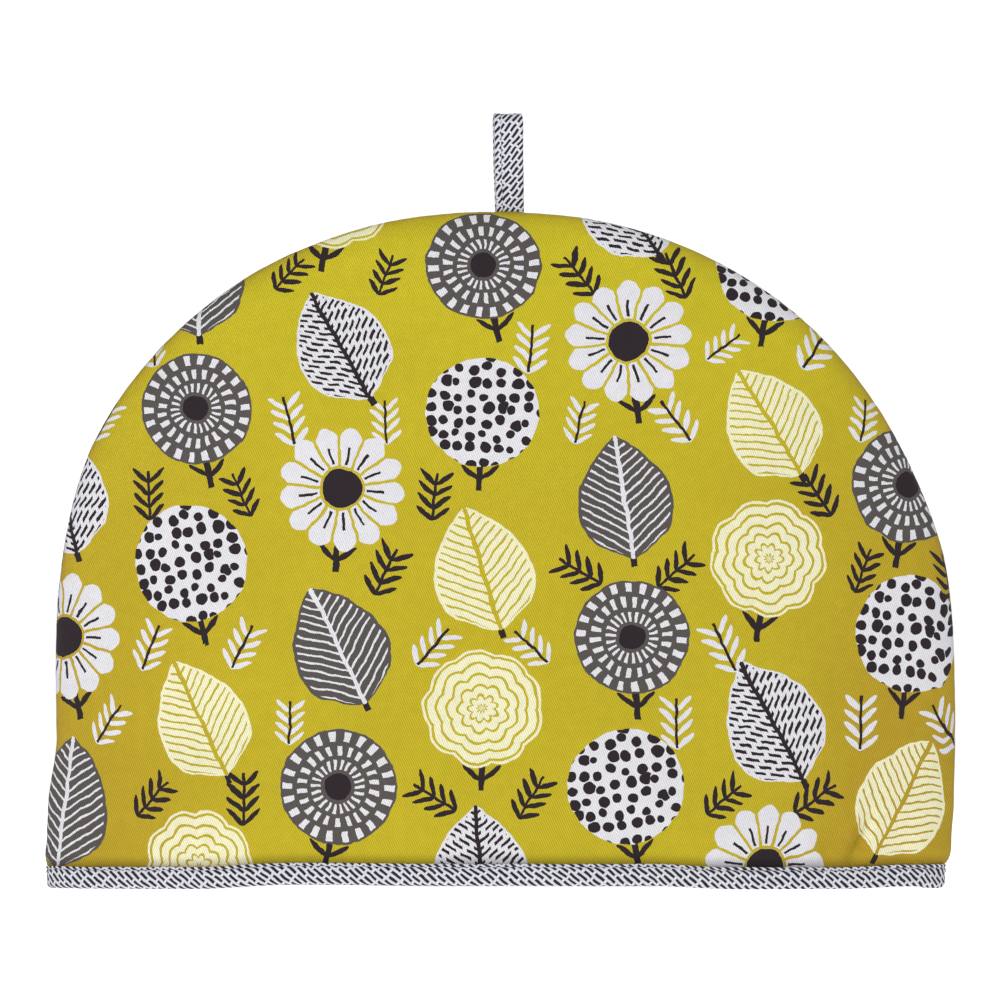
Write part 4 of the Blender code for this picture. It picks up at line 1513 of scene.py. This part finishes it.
camera_data = bpy.data.cameras.new("studio_camera")
camera_data.sensor_width = SENSOR
camera_data.lens = SENSOR * CAMERA_DISTANCE / (IMAGE_PIXELS * MM_PER_PIXEL * MM)
camera_data.clip_end = CLIP_END
camera = bpy.data.objects.new("studio_camera", camera_data)
camera.location = (VIEW_ACROSS, -CAMERA_DISTANCE, VIEW_HEIGHT)
camera.rotation_euler = (math.radians(90.0), 0.0, 0.0)
bpy.context.scene.collection.objects.link(camera)
bpy.context.scene.camera = camera
print("lens, mm:", round(camera_data.lens))

# %% [markdown]
# The table is one wide white sheet, and reaches so far that its end and the white of the studio meet in
# one even tone. It glows a little, so that the shadow under the hem stays as faint as in the photograph.
# Nothing stands behind the cosy, so it can be seen from all sides.

# %% Table
FLOOR_HALF = 40.0 / MM
WHITE = (1.0, 1.0, 1.0, 1.0)
PAPER_VALUES = {"Base Color": linear("b4b4b4"), "Roughness": 0.9}
PAPER_VALUES |= {"Emission Color": WHITE, "Emission Strength": 0.9}


def white_paper():
    """Matt white paper, lit a little from below, as a light table is."""
    return shaded("white_paper", PAPER_VALUES)


corners = [(x * FLOOR_HALF, y * FLOOR_HALF) for x, y in ((-1, -1), (1, -1), (1, 1), (-1, 1))]
table = piece_mesh("white_table", [(*corner, 0.0) for corner in corners], [(0, 1, 2, 3)], corners)
table.data.materials.append(white_paper())

# %% Lamps
Lamp = namedtuple("Lamp", "name power size place aim_height")
LAMPS = (
    Lamp("key_softbox", 51.0, 1.2, (-0.75, -2.0, 2.6), 0.2),
    Lamp("fill_softbox", 5.0, 2.0, (0.8, -3.2, 0.9), 0.15),
    Lamp("back_softbox", 30.0, 1.6, (0.9, 2.4, 1.8), 0.15),
)
for lamp in LAMPS:
    softbox = bpy.data.lights.new(lamp.name, "AREA")
    softbox.energy = lamp.power
    softbox.size = lamp.size
    stand = bpy.data.objects.new(lamp.name, softbox)
    stand.location = lamp.place
    way = Vector((0.0, 0.0, lamp.aim_height)) - Vector(lamp.place)
    stand.rotation_euler = way.to_track_quat("-Z", "Y").to_euler()
    bpy.context.scene.collection.objects.link(stand)
    print(lamp.name, "from", lamp.place)

# %% [markdown]
# The walls are the world's background. They are white low down, where the camera sees them, and dim
# overhead, so that the lamps and not the room model the padding.

# %% Studio walls
HORIZON_BAND = math.sin(math.radians(4.0))
DIM_ABOVE = 3 * HORIZON_BAND
HORIZON_GLOW = 1.1
OVERHEAD_GLOW = 0.2


def studio_walls():
    """The room round the table: white walls near the table's level, and a dim ceiling."""
    world = bpy.data.worlds.new("studio")
    world.use_nodes = True
    tree = world.node_tree
    direction = add(tree, "TexCoord").node.outputs["Generated"]
    rise = add(tree, "SeparateXYZ", direction).node.outputs["Z"]
    glows = (HORIZON_GLOW, OVERHEAD_GLOW)
    glow = add(tree, "MapRange.SMOOTHSTEP", rise, HORIZON_BAND, DIM_ABOVE, *glows)
    background = tree.nodes["Background"]
    background.inputs["Color"].default_value = WHITE
    tree.links.new(glow, background.inputs["Strength"])
    return world


bpy.context.scene.world = studio_walls()
bpy.context.scene.view_settings.view_transform = "Standard"
